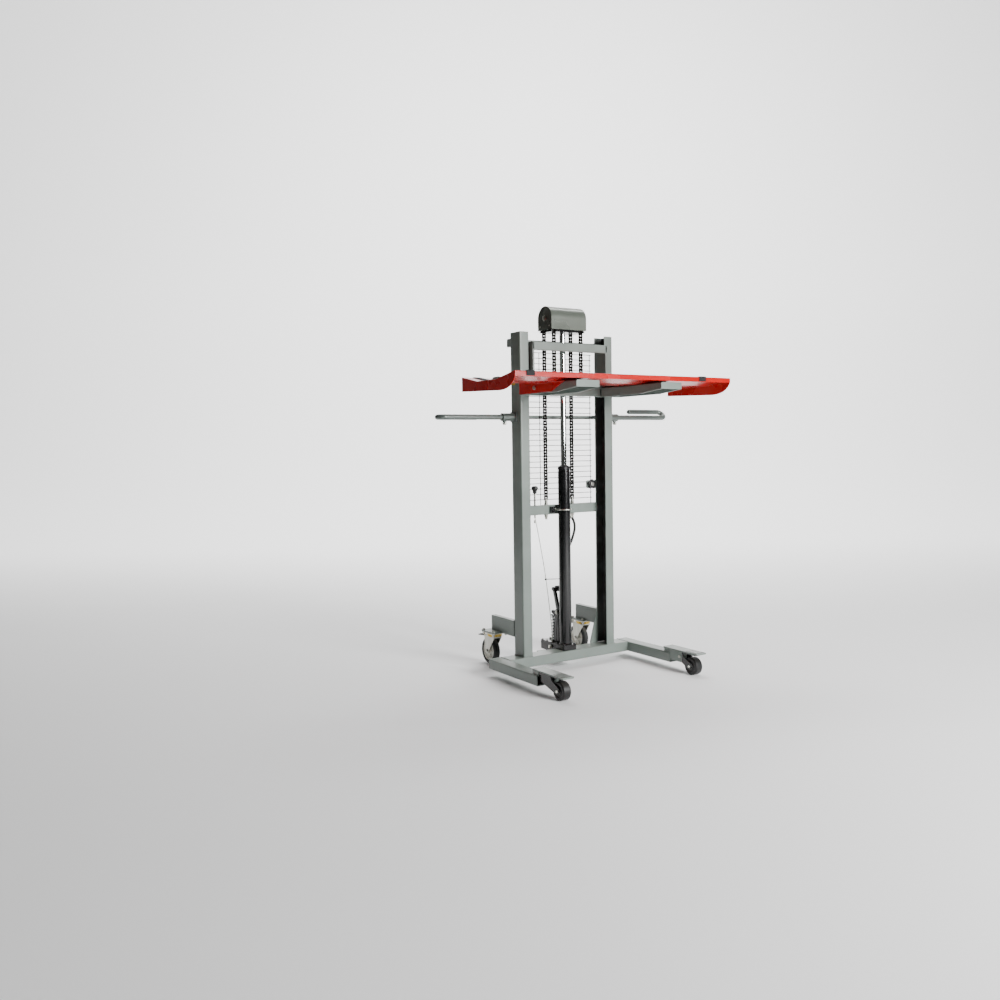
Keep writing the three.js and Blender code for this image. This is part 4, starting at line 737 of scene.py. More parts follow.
@dataclass
class BaseFrame:
    """Cross beam, pump tray and two legs, welded together."""

    half: float = 322.7
    front: float = -43.5
    rear: float = 36.5
    bottom: float = 33.0
    top: float = 77.0
    leg_inner: float = 323.0
    leg_outer: float = 382.0
    leg_front: float = -325.0
    wall: float = 4.0

    def build(self) -> None:
        """Make the beam, the legs, their welds and the plugs in their open ends."""
        self.beam()
        for name, side in SIDES:
            self.leg(name, side)
        self.welds()

    def beam(self) -> None:
        """Box-section beam, with the flat tray that carries the pump."""
        bm = bmesh.new()
        prism(bm, rectangle((self.front, self.rear), (self.bottom, self.top), 5.0),
              (-self.half, self.half), "x", 0.3)
        block(bm, (-40.0, 40.0), (self.rear - 2, 176.0), (self.bottom, self.bottom + 10), 7.0, "z", 0.9)
        BENCH.set("cross_beam_box", bm, "frame", FRAME_PAINT, "base_beam")

    def leg(self, name: str, side: int) -> None:
        """Hollow leg with a plug in its rear end."""
        x = tuple(sorted((side * self.leg_inner, side * self.leg_outer)))
        inner = (x[0] + self.wall, x[1] - self.wall)
        z = (self.bottom + self.wall, self.top - self.wall)
        bm = bmesh.new()
        prism(bm, rectangle(x, (self.bottom, self.top), 5.5), (self.leg_front, self.rear), "y", 0.8,
              rectangle(inner, z, 2.5))
        BENCH.set(f"{name}_leg_tube", bm, "frame", FRAME_PAINT, f"leg_{name}")
        plug = bmesh.new()
        prism(plug, rectangle((x[0] + 1, x[1] - 1), (self.bottom + 1, self.top - 1), 4.5),
              (self.rear + 0.1, self.rear + 3.6), "y", 1.2)
        block(plug, (inner[0] + 0.4, inner[1] - 0.4), (self.rear - 16, self.rear + 1),
              (z[0] + 0.4, z[1] - 0.4), 2.0, "y")
        BENCH.set(f"{name}_leg_plug", plug, "frame", KNOB_PLASTIC)

    def welds(self) -> None:
        """Beads where the beam meets the legs, and under the mast feet."""
        bm = bmesh.new()
        for _, side in SIDES:
            x = side * (self.leg_inner - 0.2)
            bead(bm, [(x, self.front + 0.4, self.bottom + 3), (x, self.front + 0.4, self.top - 0.6),
                      (x, self.rear - 3, self.top - 0.2)])
            bead(bm, [(side * 206, -37.9, self.top + 0.6), (side * 248, -37.9, self.top + 0.6)], 2.6)
            bead(bm, [(side * 250.3, -36, self.top + 0.6), (side * 250.3, 33, self.top + 0.6)], 2.6)
        bead(bm, [(-39, self.rear + 0.6, 43.2), (-34, self.rear + 0.6, 43.2)], 2.0)
        BENCH.set("base_weld_beads", bm, "frame", FRAME_PAINT, smooth=70)


@dataclass
class Masts:
    """Two rolled channels, open towards the middle."""

    outer: float = 250.0
    inner: float = 205.0
    half: float = 37.5
    wall: float = 5.0
    foot: float = 77.3
    top: float = 1470.0

    def build(self) -> None:
        """Make both channels with their gussets, and the film label on the left one."""
        for name, side in SIDES:
            self.channel(name, side)
        self.label()

    def channel(self, name: str, side: int) -> None:
        """One mast; the right one also carries the tab of the star knob."""
        inset = self.half - self.wall
        section = [(self.inner, -self.half), (self.outer, -self.half), (self.outer, self.half),
                   (self.inner, self.half), (self.inner, inset), (self.outer - self.wall, inset),
                   (self.outer - self.wall, -inset), (self.inner, -inset)]
        radii = [1.4, 7.5, 7.5, 1.4, 1.4, 3.0, 3.0, 1.4]
        outline = [(side * x, y) for x, y in rounded(section, radii, steps=5)]
        bm = bmesh.new()
        prism(bm, outline, (self.foot, self.top), "z", 0.6)
        gusset = [(side * 206, self.foot), (side * 206, 225.3), (side * 202, 225.3), (side * 163, self.foot)]
        prism(bm, rounded(gusset, [0, 0, 4.0, 2.0]), (31.5, 36.5), "y", 0.6)
        bead(bm, [(side * 204.2, 31.2, 84), (side * 204.2, 31.2, 221)], 1.8)
        bead(bm, [(side * 200, 31.2, self.foot + 0.4), (side * 168, 31.2, self.foot + 0.4)], 1.8)
        if side > 0:
            block(bm, (155.0, 245.0), (37.0, 42.5), (790.0, 826.0), 9.0, "y", 0.7)
            bead(bm, [(206.0, 38.4, 789.6), (240.0, 38.4, 789.6)], 1.6)
            bead(bm, [(206.0, 38.4, 826.4), (240.0, 38.4, 826.4)], 1.6)
        BENCH.set(f"{name}_mast_channel", bm, "frame", MAST_PAINT, f"mast_{name}", smooth=50)

    def label(self) -> None:
        """Plain yellow film label, without any marking."""
        bm = bmesh.new()
        prism(bm, rectangle((1.0, 27.0), (1247.0, 1281.0), 2.5), (-250.35, -249.95), "x", 0.1)
        BENCH.set("yellow_label", bm, "frame", YELLOW_FILM)


@dataclass
class CrossMembers:
    """Beams, ties and tubes that hold the two masts together."""

    beam_low: float = 682.0
    beam_high: float = 724.0
    beam_front: float = 28.0
    beam_rear: float = 57.0
    pulley_x: float = 72.0
    chain_y: float = 37.0

    def build(self) -> None:
        """Make the mid beam, the top tie, the cross tube and the chain anchors."""
        bm = bmesh.new()
        prism(bm, rectangle((self.beam_front, self.beam_rear), (self.beam_low, self.beam_high), 3.0),
              (-204.7, 204.7), "x", 0.4)
        for _, side in SIDES:
            bead(bm, [(side * 204.2, 28.4, 684), (side * 204.2, 28.4, 723)], 1.8)
            bead(bm, [(side * 204.2, 29, 724), (side * 204.2, 37, 724)], 1.8)
        BENCH.set("middle_cross_beam", bm, "frame", FRAME_PAINT, "mid_crossbeam")
        self.tie()
        self.tube()
        for name, side in SIDES:
            self.anchor(name, side * self.pulley_x)

    def tie(self) -> None:
        """Flat bar behind the mast tops, bolted to its two blocks."""
        bm = bmesh.new()
        block(bm, (-245.0, 245.0), (62.8, 70.8), (1412.0, 1448.0), 5.0, "y", 0.8)
        for _, side in SIDES:
            block(bm, (side * 210, side * 245), (37.8, 63.5), (1412.0, 1448.0), 2.5, "y", 0.5)
            bead(bm, [(side * 211, 38.2, 1411.8), (side * 244, 38.2, 1411.8)], 1.8)
        BENCH.set("top_tie_bar", bm, "frame", FRAME_PAINT, "top_tie")
        bolts = bmesh.new()
        for x in (-227.5, 227.5):
            for z in (1422.0, 1438.0):
                bolt(bolts, "y", 70.8, (x, z), 10.0, 5.0)
        BENCH.set("top_tie_bolts", bolts, "frame", ZINC)

    def tube(self) -> None:
        """Round tube at handle height, welded to its two blocks."""
        bm = bmesh.new()
        disc(bm, 8.0, (-245.0, 245.0), "x", (70.8, 1112.0), 1.2, 32)
        for _, side in SIDES:
            block(bm, (side * 210, side * 245), (37.8, 68.0), (1104.0, 1120.0), 2.0, "y", 0.5)
            bead(bm, [(side * 211, 66.0, 1119.8), (side * 244, 66.0, 1119.8)], 1.6)
            bead(bm, [(side * 211, 38.2, 1103.8), (side * 244, 38.2, 1103.8)], 1.8)
        BENCH.set("handle_height_tube", bm, "frame", FRAME_PAINT, "cross_tube")

    def anchor(self, name: str, x: float) -> None:
        """Threaded chain anchor with its nuts and clevis."""
        bm = bmesh.new()
        thread = [(0.0, 660.0), (5.2, 660.0)]
        for turn in range(21):
            thread += [(6.0, 661.0 + turn * 3.2), (5.3, 662.6 + turn * 3.2)]
        thread += [(6.0, 729.0), (6.0, 740.0), (0.0, 740.0)]
        lathe(bm, thread, "z", (x, self.chain_y), 24)
        bolt(bm, "z", self.beam_high + 0.3, (x, self.chain_y), 15.6, 8.0)
        bolt(bm, "z", self.beam_low - 0.3, (x, self.chain_y), 15.6, 8.4, out=-1)
        tang = rounded([(self.chain_y - 5.9, 734), (self.chain_y + 5.9, 734), (self.chain_y + 5.9, 755),
                        (self.chain_y - 5.9, 755)], [0, 0, 5.6, 5.6])
        prism(bm, tang, (x - 4.4, x + 4.4), "x", 0.5)
        disc(bm, 2.6, (x - 8.9, x + 8.9), "x", (self.chain_y, 749.6), 0.5, 16)
        BENCH.set(f"{name}_chain_anchor_stud", bm, "frame", ZINC, f"chain_anchor_{name}")


@dataclass
class WireGuard:
    """Welded screen of level wires on uprights, behind the chains."""

    radius: float = 1.5
    front: float = 57.0
    pitch: float = 24.0
    low: float = 745.0
    high: float = 1393.0
    reach: float = 202.0
    uprights: tuple[float, ...] = (-196.0, -84.0, 84.0, 196.0)

    def build(self) -> None:
        """Make every wire with a small weld at each crossing."""
        bm = bmesh.new()
        y = self.front + self.radius
        behind = y + 2 * self.radius - 0.5
        z = self.low
        while z <= self.high:
            level = z + self.radius
            sweep(bm, [Vector((x, y, level)) for x in (-self.reach + 1, 0, self.reach - 1)],
                  self.radius, 10, True)
            for x in self.uprights:
                sweep(bm, [Vector((x - 2.2, y + 1.2, level)), Vector((x + 2.2, y + 1.2, level))],
                      1.5, 8, True)
            z += self.pitch
        for x in self.uprights:
            sweep(bm, [Vector((x, behind, v)) for v in (689.6, 1000, 1394.4)], self.radius, 12, True)
            block(bm, (x - 5, x + 5), (self.front + 0.2, behind), (694.0, 712.0), 2.0, "y", 0.4)
        BENCH.set("guard_screen", bm, "frame", GUARD_STEEL, "wire_guard", smooth=60)


@dataclass
class LiftCylinder:
    """Cylinder with its foot, gland, clamp and chromed rod."""

    radius: float = 27.0
    bottom: float = 101.6
    top: float = 880.0
    bore: float = 20.0
    rod: float = 13.0

    def build(self) -> None:
        """Make the foot, the tube, the gland, the rod and the clamp."""
        foot = bmesh.new()
        block(foot, (-35.0, 35.0), (-35.0, 35.0), (77.3, 101.3), 6.0, "z", 1.6)
        lathe(foot, [(27.0, 100.9), (31.0, 101.0), (30.2, 102.6), (27.3, 105.6), (26.6, 106.0)],
              "z", segments=64)
        for x in (-27.0, 27.0):
            for y in (-27.0, 27.0):
                cap_screw(foot, "z", 101.2, (x, y), 5.0)
        BENCH.set("cylinder_foot_block", foot, "frame", BLACK_PAINT, "cylinder_foot")
        tube = bmesh.new()
        turned(tube, [(self.bore, self.bottom), (self.radius, self.bottom), (self.radius, self.top - 9),
                      (self.radius - 1.2, self.top - 8), (self.radius - 1.2, self.top),
                      (self.bore, self.top)],
               ease=0.5, segments=72, closed=True)
        BENCH.set("cylinder_barrel", tube, "frame", BLACK_PAINT, "cylinder_tube")
        self.gland()
        rod = bmesh.new()
        turned(rod, [(0, 715.0), (19.7, 715.0), (19.7, 749.0), (self.rod, 749.0), (self.rod, 1468.0),
                     (self.rod - 2, 1470.0), (self.rod - 2, 1476.7), (0, 1476.7)], ease=0.5, segments=64)
        BENCH.set("chromed_rod", rod, "ram", CHROME, "piston_rod")
        self.clamp()

    def gland(self) -> None:
        """Gland nut with pin holes round its side and a lip seal on top."""
        bm = bmesh.new()
        inner = self.rod + 0.3
        seat = self.top + 0.3
        turned(bm, [(inner, seat - 18), (19.7, seat - 18), (19.7, seat), (self.radius, seat),
                    (self.radius, 892.0), (self.radius - 5, 896.0), (inner, 896.0)],
               ease=0.7, segments=72, closed=True)
        for turn in range(8):
            angle = math.pi / 8 + turn * math.pi / 4
            ring = [Vector((math.cos(angle), math.sin(angle), 0)) * r + Vector((0, 0, 887))
                    for r in (25.5, 27.35)]
            sweep(bm, ring, 2.2, 12)
        BENCH.set("gland_nut", bm, "frame", BLACK_OXIDE, "cylinder_gland")
        seal = bmesh.new()
        turned(seal, [(inner, 895.4), (18.2, 895.4), (17.0, 898.6), (inner, 899.6)],
               ease=0.5, segments=48, closed=True)
        BENCH.set("rod_wiper_seal", seal, "frame", HOSE_RUBBER)

    def clamp(self) -> None:
        """U-bolt round the cylinder, its nuts on the beam, and the saddle beside it."""
        level, loop = 703.0, 31.1
        arc = [Vector((loop * math.cos(a), -loop * math.sin(a), level)) for a in
               (math.pi - k * math.pi / 24 for k in range(25))]
        path = [Vector((-loop, 27.4, level)), Vector((-loop, 9.0, level)), *arc,
                Vector((loop, 9.0, level)), Vector((loop, 27.4, level))]
        bm = bmesh.new()
        sweep(bm, path, 3.4, 16, True)
        for x in (-loop, loop):
            bolt(bm, "y", 27.6, (x, level), 12.0, 5.0, out=-1, washer=1.0)
        BENCH.set("cylinder_u_bolt", bm, "frame", ZINC, "cylinder_clamp", smooth=60)
        saddle = bmesh.new()
        block(saddle, (-59.6, -38.6), (14.4, 27.5), (688.4, 717.6), 3.0, "y", 1.0)
        for z in (696.0, 710.0):
            cap_screw(saddle, "y", 14.5, (-49.0, z), 4.0, out=-1)
        BENCH.set("clamp_saddle", saddle, "frame", BLACK_PAINT)


@dataclass
class FootPump:
    """Pump block behind the cylinder, with its plunger, spring and foot lever."""

    half: float = 32.0
    rear: float = 152.0
    low: float = 58.0
    top: float = 100.0
    plunger_y: float = 92.0
    pivot: Flat = (50.0, 236.0)
    tread: Flat = (82.0, 338.0)

    def build(self) -> None:
        """Make the block, the plunger, the spring and the lever."""
        self.body()
        self.plunger()
        self.spring()
        self.lever()

    def body(self) -> None:
        """Cast block with cheeks for the lever, plugs, screws and unions."""
        bm = bmesh.new()
        front = 36.8
        block(bm, (-self.half, self.half), (front, self.rear), (self.low, self.top), 5.0, "z", 1.8)
        block(bm, (-24.0, 24.0), (front, 122.0), (43.3, self.low + 2), 4.0, "z", 0.8)
        collar(bm, 7.6, 15.0, (self.top - 1, self.top + 2.4), "z", (0, self.plunger_y), 0.6, 40)
        outline = [(front, 98.0), (74.0, 98.0), (64.0, 236.0), (57.0, 250.0), (43.0, 250.0), (front, 236.0)]
        for _, side in SIDES:
            prism(bm, rounded(outline, [0, 0, 7.0, 7.0, 7.0, 7.0]), (side * 6.3, side * 12.3), "x", 0.8)
            bead(bm, [(side * 13.0, front + 1, self.top + 0.4), (side * 13.0, 73.0, self.top + 0.4)], 1.8)
        BENCH.set("pump_block", bm, "frame", BLACK_PAINT, "pump_body")
        plated = bmesh.new()
        disc(plated, 6.0, (-16.0, 16.0), "x", self.pivot, 0.6, 24)
        for _, side in SIDES:
            collar(plated, 4.4, 8.6, (side * 13.1, side * 14.4), "x", self.pivot, 0.3, 24)
        bolt(plated, "z", self.top, (14.0, 134.0), 14.0, 6.0)
        bolt(plated, "x", -self.half, (70.0, 80.0), 15.0, 9.0, out=-1)
        bolt(plated, "x", self.half, (112.0, 78.0), 13.0, 6.0)
        bolt(plated, "y", self.rear, (-12.0, 78.0), 17.0, 7.0)
        for x, y in ((-25.0, 144.0), (25.0, 144.0), (-25.0, 110.0), (25.0, 110.0)):
            cap_screw(plated, "z", self.top - 0.2, (x, y), 4.2)
        BENCH.set("pump_plugs_and_pin", plated, "frame", ZINC)

    def plunger(self) -> None:
        """Bright plunger with its spring cap."""
        bm = bmesh.new()
        turned(bm, [(0, 85.0), (6.0, 85.0), (7.0, 87.0), (7.0, 214.0), (11.0, 218.0),
                    (14.0, 218.0), (14.0, 223.0),
                    (12.6, 224.0), (0, 224.0)], "z", (0, self.plunger_y), 0.5, 40)
        BENCH.set("pump_plunger_rod", bm, "pump_plunger", CHROME, "pump_plunger")

    def spring(self) -> None:
        """Return spring, squeezed between the block and the plunger's cap."""
        turns, low, high, wire, radius = 10, 103.6, 216.4, 1.6, 11.6
        path = []
        for k in range(turns * 18 + 1):
            share = k / (turns * 18)
            eased = min(max((share * turns - 0.9) / (turns - 1.8), 0.0), 1.0)
            angle = 2 * math.pi * turns * share
            path.append(Vector((radius * math.cos(angle), self.plunger_y + radius * math.sin(angle),
                                low + (high - low) * eased)))
        bm = bmesh.new()
        sweep(bm, path, wire, 8, True)
        coil = BENCH.set("return_spring", bm, None, BLACK_OXIDE, smooth=80)
        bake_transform(coil)

    def arm(self, bm: bmesh.types.BMesh, a: Flat, b: Flat, width: Flat) -> None:
        """Flat arm between two points, tapering from one width to another."""
        start, end = Vector(a), Vector(b)
        way = (end - start).normalized()
        across = Vector((-way.y, way.x))
        corners = [start + across * width[0] / 2, start - across * width[0] / 2,
                   end - across * width[1] / 2, end + across * width[1] / 2]
        prism(bm, [(p.x, p.y) for p in corners], (-6.0, 6.0), "x", 0.9)

    def lever(self) -> None:
        """Foot lever with its shoe, and a ribbed rubber sleeve on the tread bar."""
        bm = bmesh.new()
        shoe = (self.plunger_y, 232.3)
        collar(bm, 6.3, 14.0, (-6.0, 6.0), "x", self.pivot, 0.8, 40)
        self.arm(bm, (61.0, 235.0), shoe, (17.0, 15.0))
        disc(bm, 8.0, (-6.0, 6.0), "x", shoe, 0.8, 32)
        self.arm(bm, (53.0, 246.0), self.tread, (17.0, 14.0))
        disc(bm, 9.0, (-10.0, 40.0), "x", self.tread, 1.0, 32)
        BENCH.set("foot_lever_arm", bm, "foot_lever", BLACK_PAINT, "foot_lever")
        sleeve = [(9.1, 0.0), (12.0, 0.0)]
        for rib in range(9):
            sleeve += [(13.0, 2.0 + rib * 3.8), (11.9, 3.9 + rib * 3.8)]
        sleeve += [(13.0, 34.6), (10.8, 35.4), (9.1, 35.4)]
        rubber = bmesh.new()
        turned(rubber, [(r, 6.6 + a) for r, a in sleeve], "x", self.tread, 0.5, 40, closed=True)
        disc(rubber, 11.4, (40.0, 42.0), "x", self.tread, 0.9, 40)
        BENCH.set("lever_tread_sleeve", rubber, "foot_lever", HOSE_RUBBER)


@dataclass
class HoseAndCable:
    """Pressure hose beside the cylinder, and the cable of the lowering valve."""

    hose_route: tuple = ((33.8, 4, 674), (49.8, 3, 656), (59.8, 4, 620), (51.8, 14, 567), (34.8, 30, 507),
                         (19.8, 43, 432), (20.8, 44, 326), (22.8, 46, 236), (22.8, 48, 100.6))
    cable_route: tuple = ((-130, 40, 667), (-116, 45, 622), (-70, 57, 427), (-26, 70, 160), (-24, 70, 100.6))

    def build(self) -> None:
        """Make the hose with its ferrules, and the cable with its ends and clip."""
        bm = bmesh.new()
        line = smooth_line(self.hose_route, 14)
        sweep(bm, line, 5.5, 20)
        BENCH.set("pressure_hose", bm, "frame", HOSE_RUBBER, "hydraulic_hose", smooth=60)
        ends = bmesh.new()
        self.ferrule(ends, line[:9])
        self.ferrule(ends, [p for p in line[::-1] if p.z < 132.0])
        boss = [(0, 26.4), (9.0, 26.4), (9.0, 30.0), (6.5, 30.6), (6.5, 40.6), (0, 40.6)]
        turned(ends, boss, "x", (4.0, 678.0), 0.5, 28)
        bolt(ends, "x", 39.0, (4.0, 678.0), 11.0, 4.0, washer=0.8)
        bolt(ends, "z", self.hose_route[-1][2] - 0.4, (22.8, 48.0), 13.0, 6.0, washer=0.8)
        BENCH.set("hose_unions", ends, "frame", ZINC)
        self.cable()

    @staticmethod
    def ferrule(bm: bmesh.types.BMesh, line: Sequence[Vector]) -> None:
        """Crimped ferrule round one end of the hose."""
        fine = [a.lerp(b, k / 4) for a, b in zip(line, line[1:]) for k in range(4)]
        radii = [7.2 + (0.5 if i % 4 < 2 else -0.1) for i in range(len(fine))]
        radii[-1] = 5.8
        sweep(bm, fine, radii, 20)

    def cable(self) -> None:
        """Steel cable whose upper end starts at the lower end of the release rod."""
        line = smooth_line(self.cable_route, 22)
        bm = bmesh.new()
        sweep(bm, line, 1.7, 10, True)
        strand = BENCH.set("release_cable_strand", bm, None, CABLE_STEEL, "release_cable", smooth=70)
        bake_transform(strand)
        ends = bmesh.new()
        sweep(ends, [p for p in line if p.z < 128.0][::-1], 2.3, 12, True)
        bolt(ends, "z", 100.2, (-24.0, 70.0), 9.0, 5.0, washer=0.8)
        BENCH.set("cable_lower_ferrule", ends, "frame", ZINC)
        clip = bmesh.new()
        collar(clip, 2.4, 4.6, (386.0, 393.0), "z", (-63.9, 58.8), 0.4, 20)
        sweep(clip, [Vector((-60.2, 56.0, 389.5)), Vector((-42.0, 38.0, 391.0)),
                     Vector((-20.0, 19.4, 392.0))], 1.5, 10, True)
        BENCH.set("cable_clip", clip, "frame", BLACK_OXIDE)
        nipple = bmesh.new()
        disc(nipple, 4.6, (646.0, 660.0), "z", (-130.0, 40.0), 0.8, 24)
        BENCH.set("cable_upper_nipple", nipple, "release_knob", ZINC)


@dataclass
class HandKnobs:
    """Release knob on its rod, and the five-lobed knob behind the right mast."""

    release: Flat = (-130.0, 40.0)
    star: Flat = (178.0, 808.0)
    lobes: int = 5

    def build(self) -> None:
        """Make both knobs."""
        low, size = 776.0, 34.0
        bm = bmesh.new()
        grip = [(0, low), (8.2, low), (8.6, low + 5), (9.3, low + 12), (13.4, low + 18), (15.0, low + 21),
                (14.9, low + 25), (13.8, low + 29), (10.5, low + 32.4), (6.0, low + size), (0, low + size)]
        turned(bm, grip, "z", self.release, 2.5, 56)
        BENCH.set("release_grip", bm, "release_knob", KNOB_PLASTIC, "release_knob")
        rod = bmesh.new()
        disc(rod, 4.0, (668.2, low + 4), "z", self.release, 0.6, 28)
        bolt(rod, "z", low - 5.6, self.release, 9.0, 4.2, washer=1.0)
        BENCH.set("release_rod", rod, "release_knob", ZINC)
        self.star_knob()

    def star_knob(self) -> None:
        """Lobed knob with a bright disc in its face and its stud through the tab."""
        outline = []
        steps = self.lobes * 18
        for step in range(steps):
            turn = 2 * math.pi * step / steps
            reach = 23.0 * (0.86 + 0.14 * math.cos(self.lobes * turn))
            outline.append((self.star[0] - reach * math.sin(turn), self.star[1] + reach * math.cos(turn)))
        bm = bmesh.new()
        prism(bm, outline, (20.9, 36.4), "y", 3.2)
        collar(bm, 8.6, 11.5, (20.2, 22.4), "y", self.star, 0.6, 40)
        BENCH.set("star_grip", bm, "star_knob", KNOB_PLASTIC, "star_knob", smooth=55)
        metal = bmesh.new()
        disc(metal, 8.4, (20.6, 23.0), "y", self.star, 0.6, 36)
        disc(metal, 5.0, (35.6, 50.5), "y", self.star, 1.0, 28)
        BENCH.set("star_knob_stud", metal, "star_knob", ZINC)


@dataclass
class Handles:
    """J-shaped push handles in clamped sockets on the masts."""

    y: float = 12.0
    z: float = 1110.0
    radius: float = 11.0
    reach: float = 620.0
    bend: float = 22.0
    back: float = 180.0
    right_tilt: float = 40.0

    def build(self) -> None:
        """Make both sockets and both handles."""
        for name, side in SIDES:
            self.socket(name, side)
            self.bar(name, side, math.radians(self.right_tilt if side > 0 else 0.0))

    def socket(self, name: str, side: int) -> None:
        """Sleeve on its plate, with the clamp bolt underneath."""
        bm = bmesh.new()
        block(bm, (side * 250.3, side * 255.3), (self.y - 27.2, self.y + 23.8),
              (1087.9, 1132.1), 6.0, "x", 0.9)
        span = (side * 254.0, side * 314.0)
        collar(bm, self.radius + 0.5, 17.0, span, "x", (self.y, self.z), 1.0, 56)
        path = [(side * 256.0, self.y + 17.4 * math.cos(a), self.z + 17.4 * math.sin(a))
                for a in (2 * math.pi * k / 28 for k in range(29))]
        bead(bm, path, 1.9)
        disc(bm, 8.5, (self.z - 23.0, self.z - 15.0), "z", (side * 300.0, self.y), 0.6, 32)
        BENCH.set(f"{name}_handle_sleeve", bm, "frame", HANDLE_PAINT, f"handle_socket_{name}")
        screw = bmesh.new()
        disc(screw, 5.0, (self.z - 27.0, self.z - 14.0), "z", (side * 300.0, self.y), 0.6, 24)
        bolt(screw, "z", self.z - 24.8, (side * 300.0, self.y), 15.0, 6.6, out=-1, washer=1.4)
        BENCH.set(f"{name}_handle_clamp_screw", screw, "frame", ZINC)

    def bar(self, name: str, side: int, tilt: float) -> None:
        """Bent bar with a domed free end."""
        corner = self.reach - self.radius - self.bend
        flat = [(255.6, 0.0)]
        flat += [(x, 0.0) for x in (330.0, 450.0, corner)]
        flat += [(corner + self.bend * math.sin(a), self.bend * (1 - math.cos(a)))
                 for a in (math.pi * k / 24 for k in range(1, 24))]
        flat += [(corner, 2 * self.bend), (corner - 90, 2 * self.bend),
                 (corner - self.back + 8, 2 * self.bend)]
        path = [Vector((side * x, self.y + y * math.cos(tilt), self.z + y * math.sin(tilt))) for x, y in flat]
        radii = [self.radius] * len(path)
        path += [path[-1] - Vector((side * d, 0, 0)) for d in (4.0, 6.8, 8.0)]
        radii += [self.radius * 0.93, self.radius * 0.72, self.radius * 0.4]
        bm = bmesh.new()
        sweep(bm, path, radii, 40)
        BENCH.set(f"{name}_push_handle", bm, f"handle_{name}", HANDLE_PAINT, f"handle_{name}", smooth=55)


@dataclass
class ChainLink:
    """Sizes of one roller chain, and the making of its links."""

    height: float = 11.8
    plate_wall: float = 1.7
    outer: float = 6.9
    inner: float = 4.9
    roller: float = 4.4
    pin: float = 2.3

    def run(self, bm: bmesh.types.BMesh, x: float, pins: Sequence[Flat], first: int = 0,
            own: slice = slice(None)) -> None:
        """Links between pins.

        Args:
            bm: Mesh to add to.
            x: Middle of the chain.
            pins: Pin centres as [Y, Z].
            first: 0 to start with an outer link, 1 with an inner one.
            own: Pins that belong to this run and get a pin and a roller.
        """
        for i, (a, b) in enumerate(zip(pins, pins[1:])):
            offset = self.outer if (i + first) % 2 == 0 else self.inner
            outline = self.plate(Vector(a), Vector(b))
            for edge in (-1, 1):
                middle = x + edge * offset
                prism(bm, outline, (middle - self.plate_wall / 2, middle + self.plate_wall / 2), "x", 0.25)
        for pin in pins[own]:
            disc(bm, self.pin, (x - 8.8, x + 8.8), "x", pin, 0.4, 12)
            disc(bm, self.roller, (x - 4.0, x + 4.0), "x", pin, 0.4, 18)

    def plate(self, a: Vector, b: Vector) -> list[Flat]:
        """Outline of one leaf: two round ends and a slight waist."""
        way = (b - a).normalized()
        across = Vector((-way.y, way.x))
        half, length = self.height / 2, (b - a).length
        points = []
        for angle in range(-90, 91, 30):
            t = math.radians(angle)
            points.append(b + way * half * 0.98 * math.cos(t) + across * half * math.sin(t))
        points.append(a + way * length / 2 + across * half * 0.7)
        for angle in range(90, 271, 30):
            t = math.radians(angle)
            points.append(a + way * half * 0.98 * math.cos(t) + across * half * math.sin(t))
        points.append(a + way * length / 2 - across * half * 0.7)
        return [(p.x, p.y) for p in points]


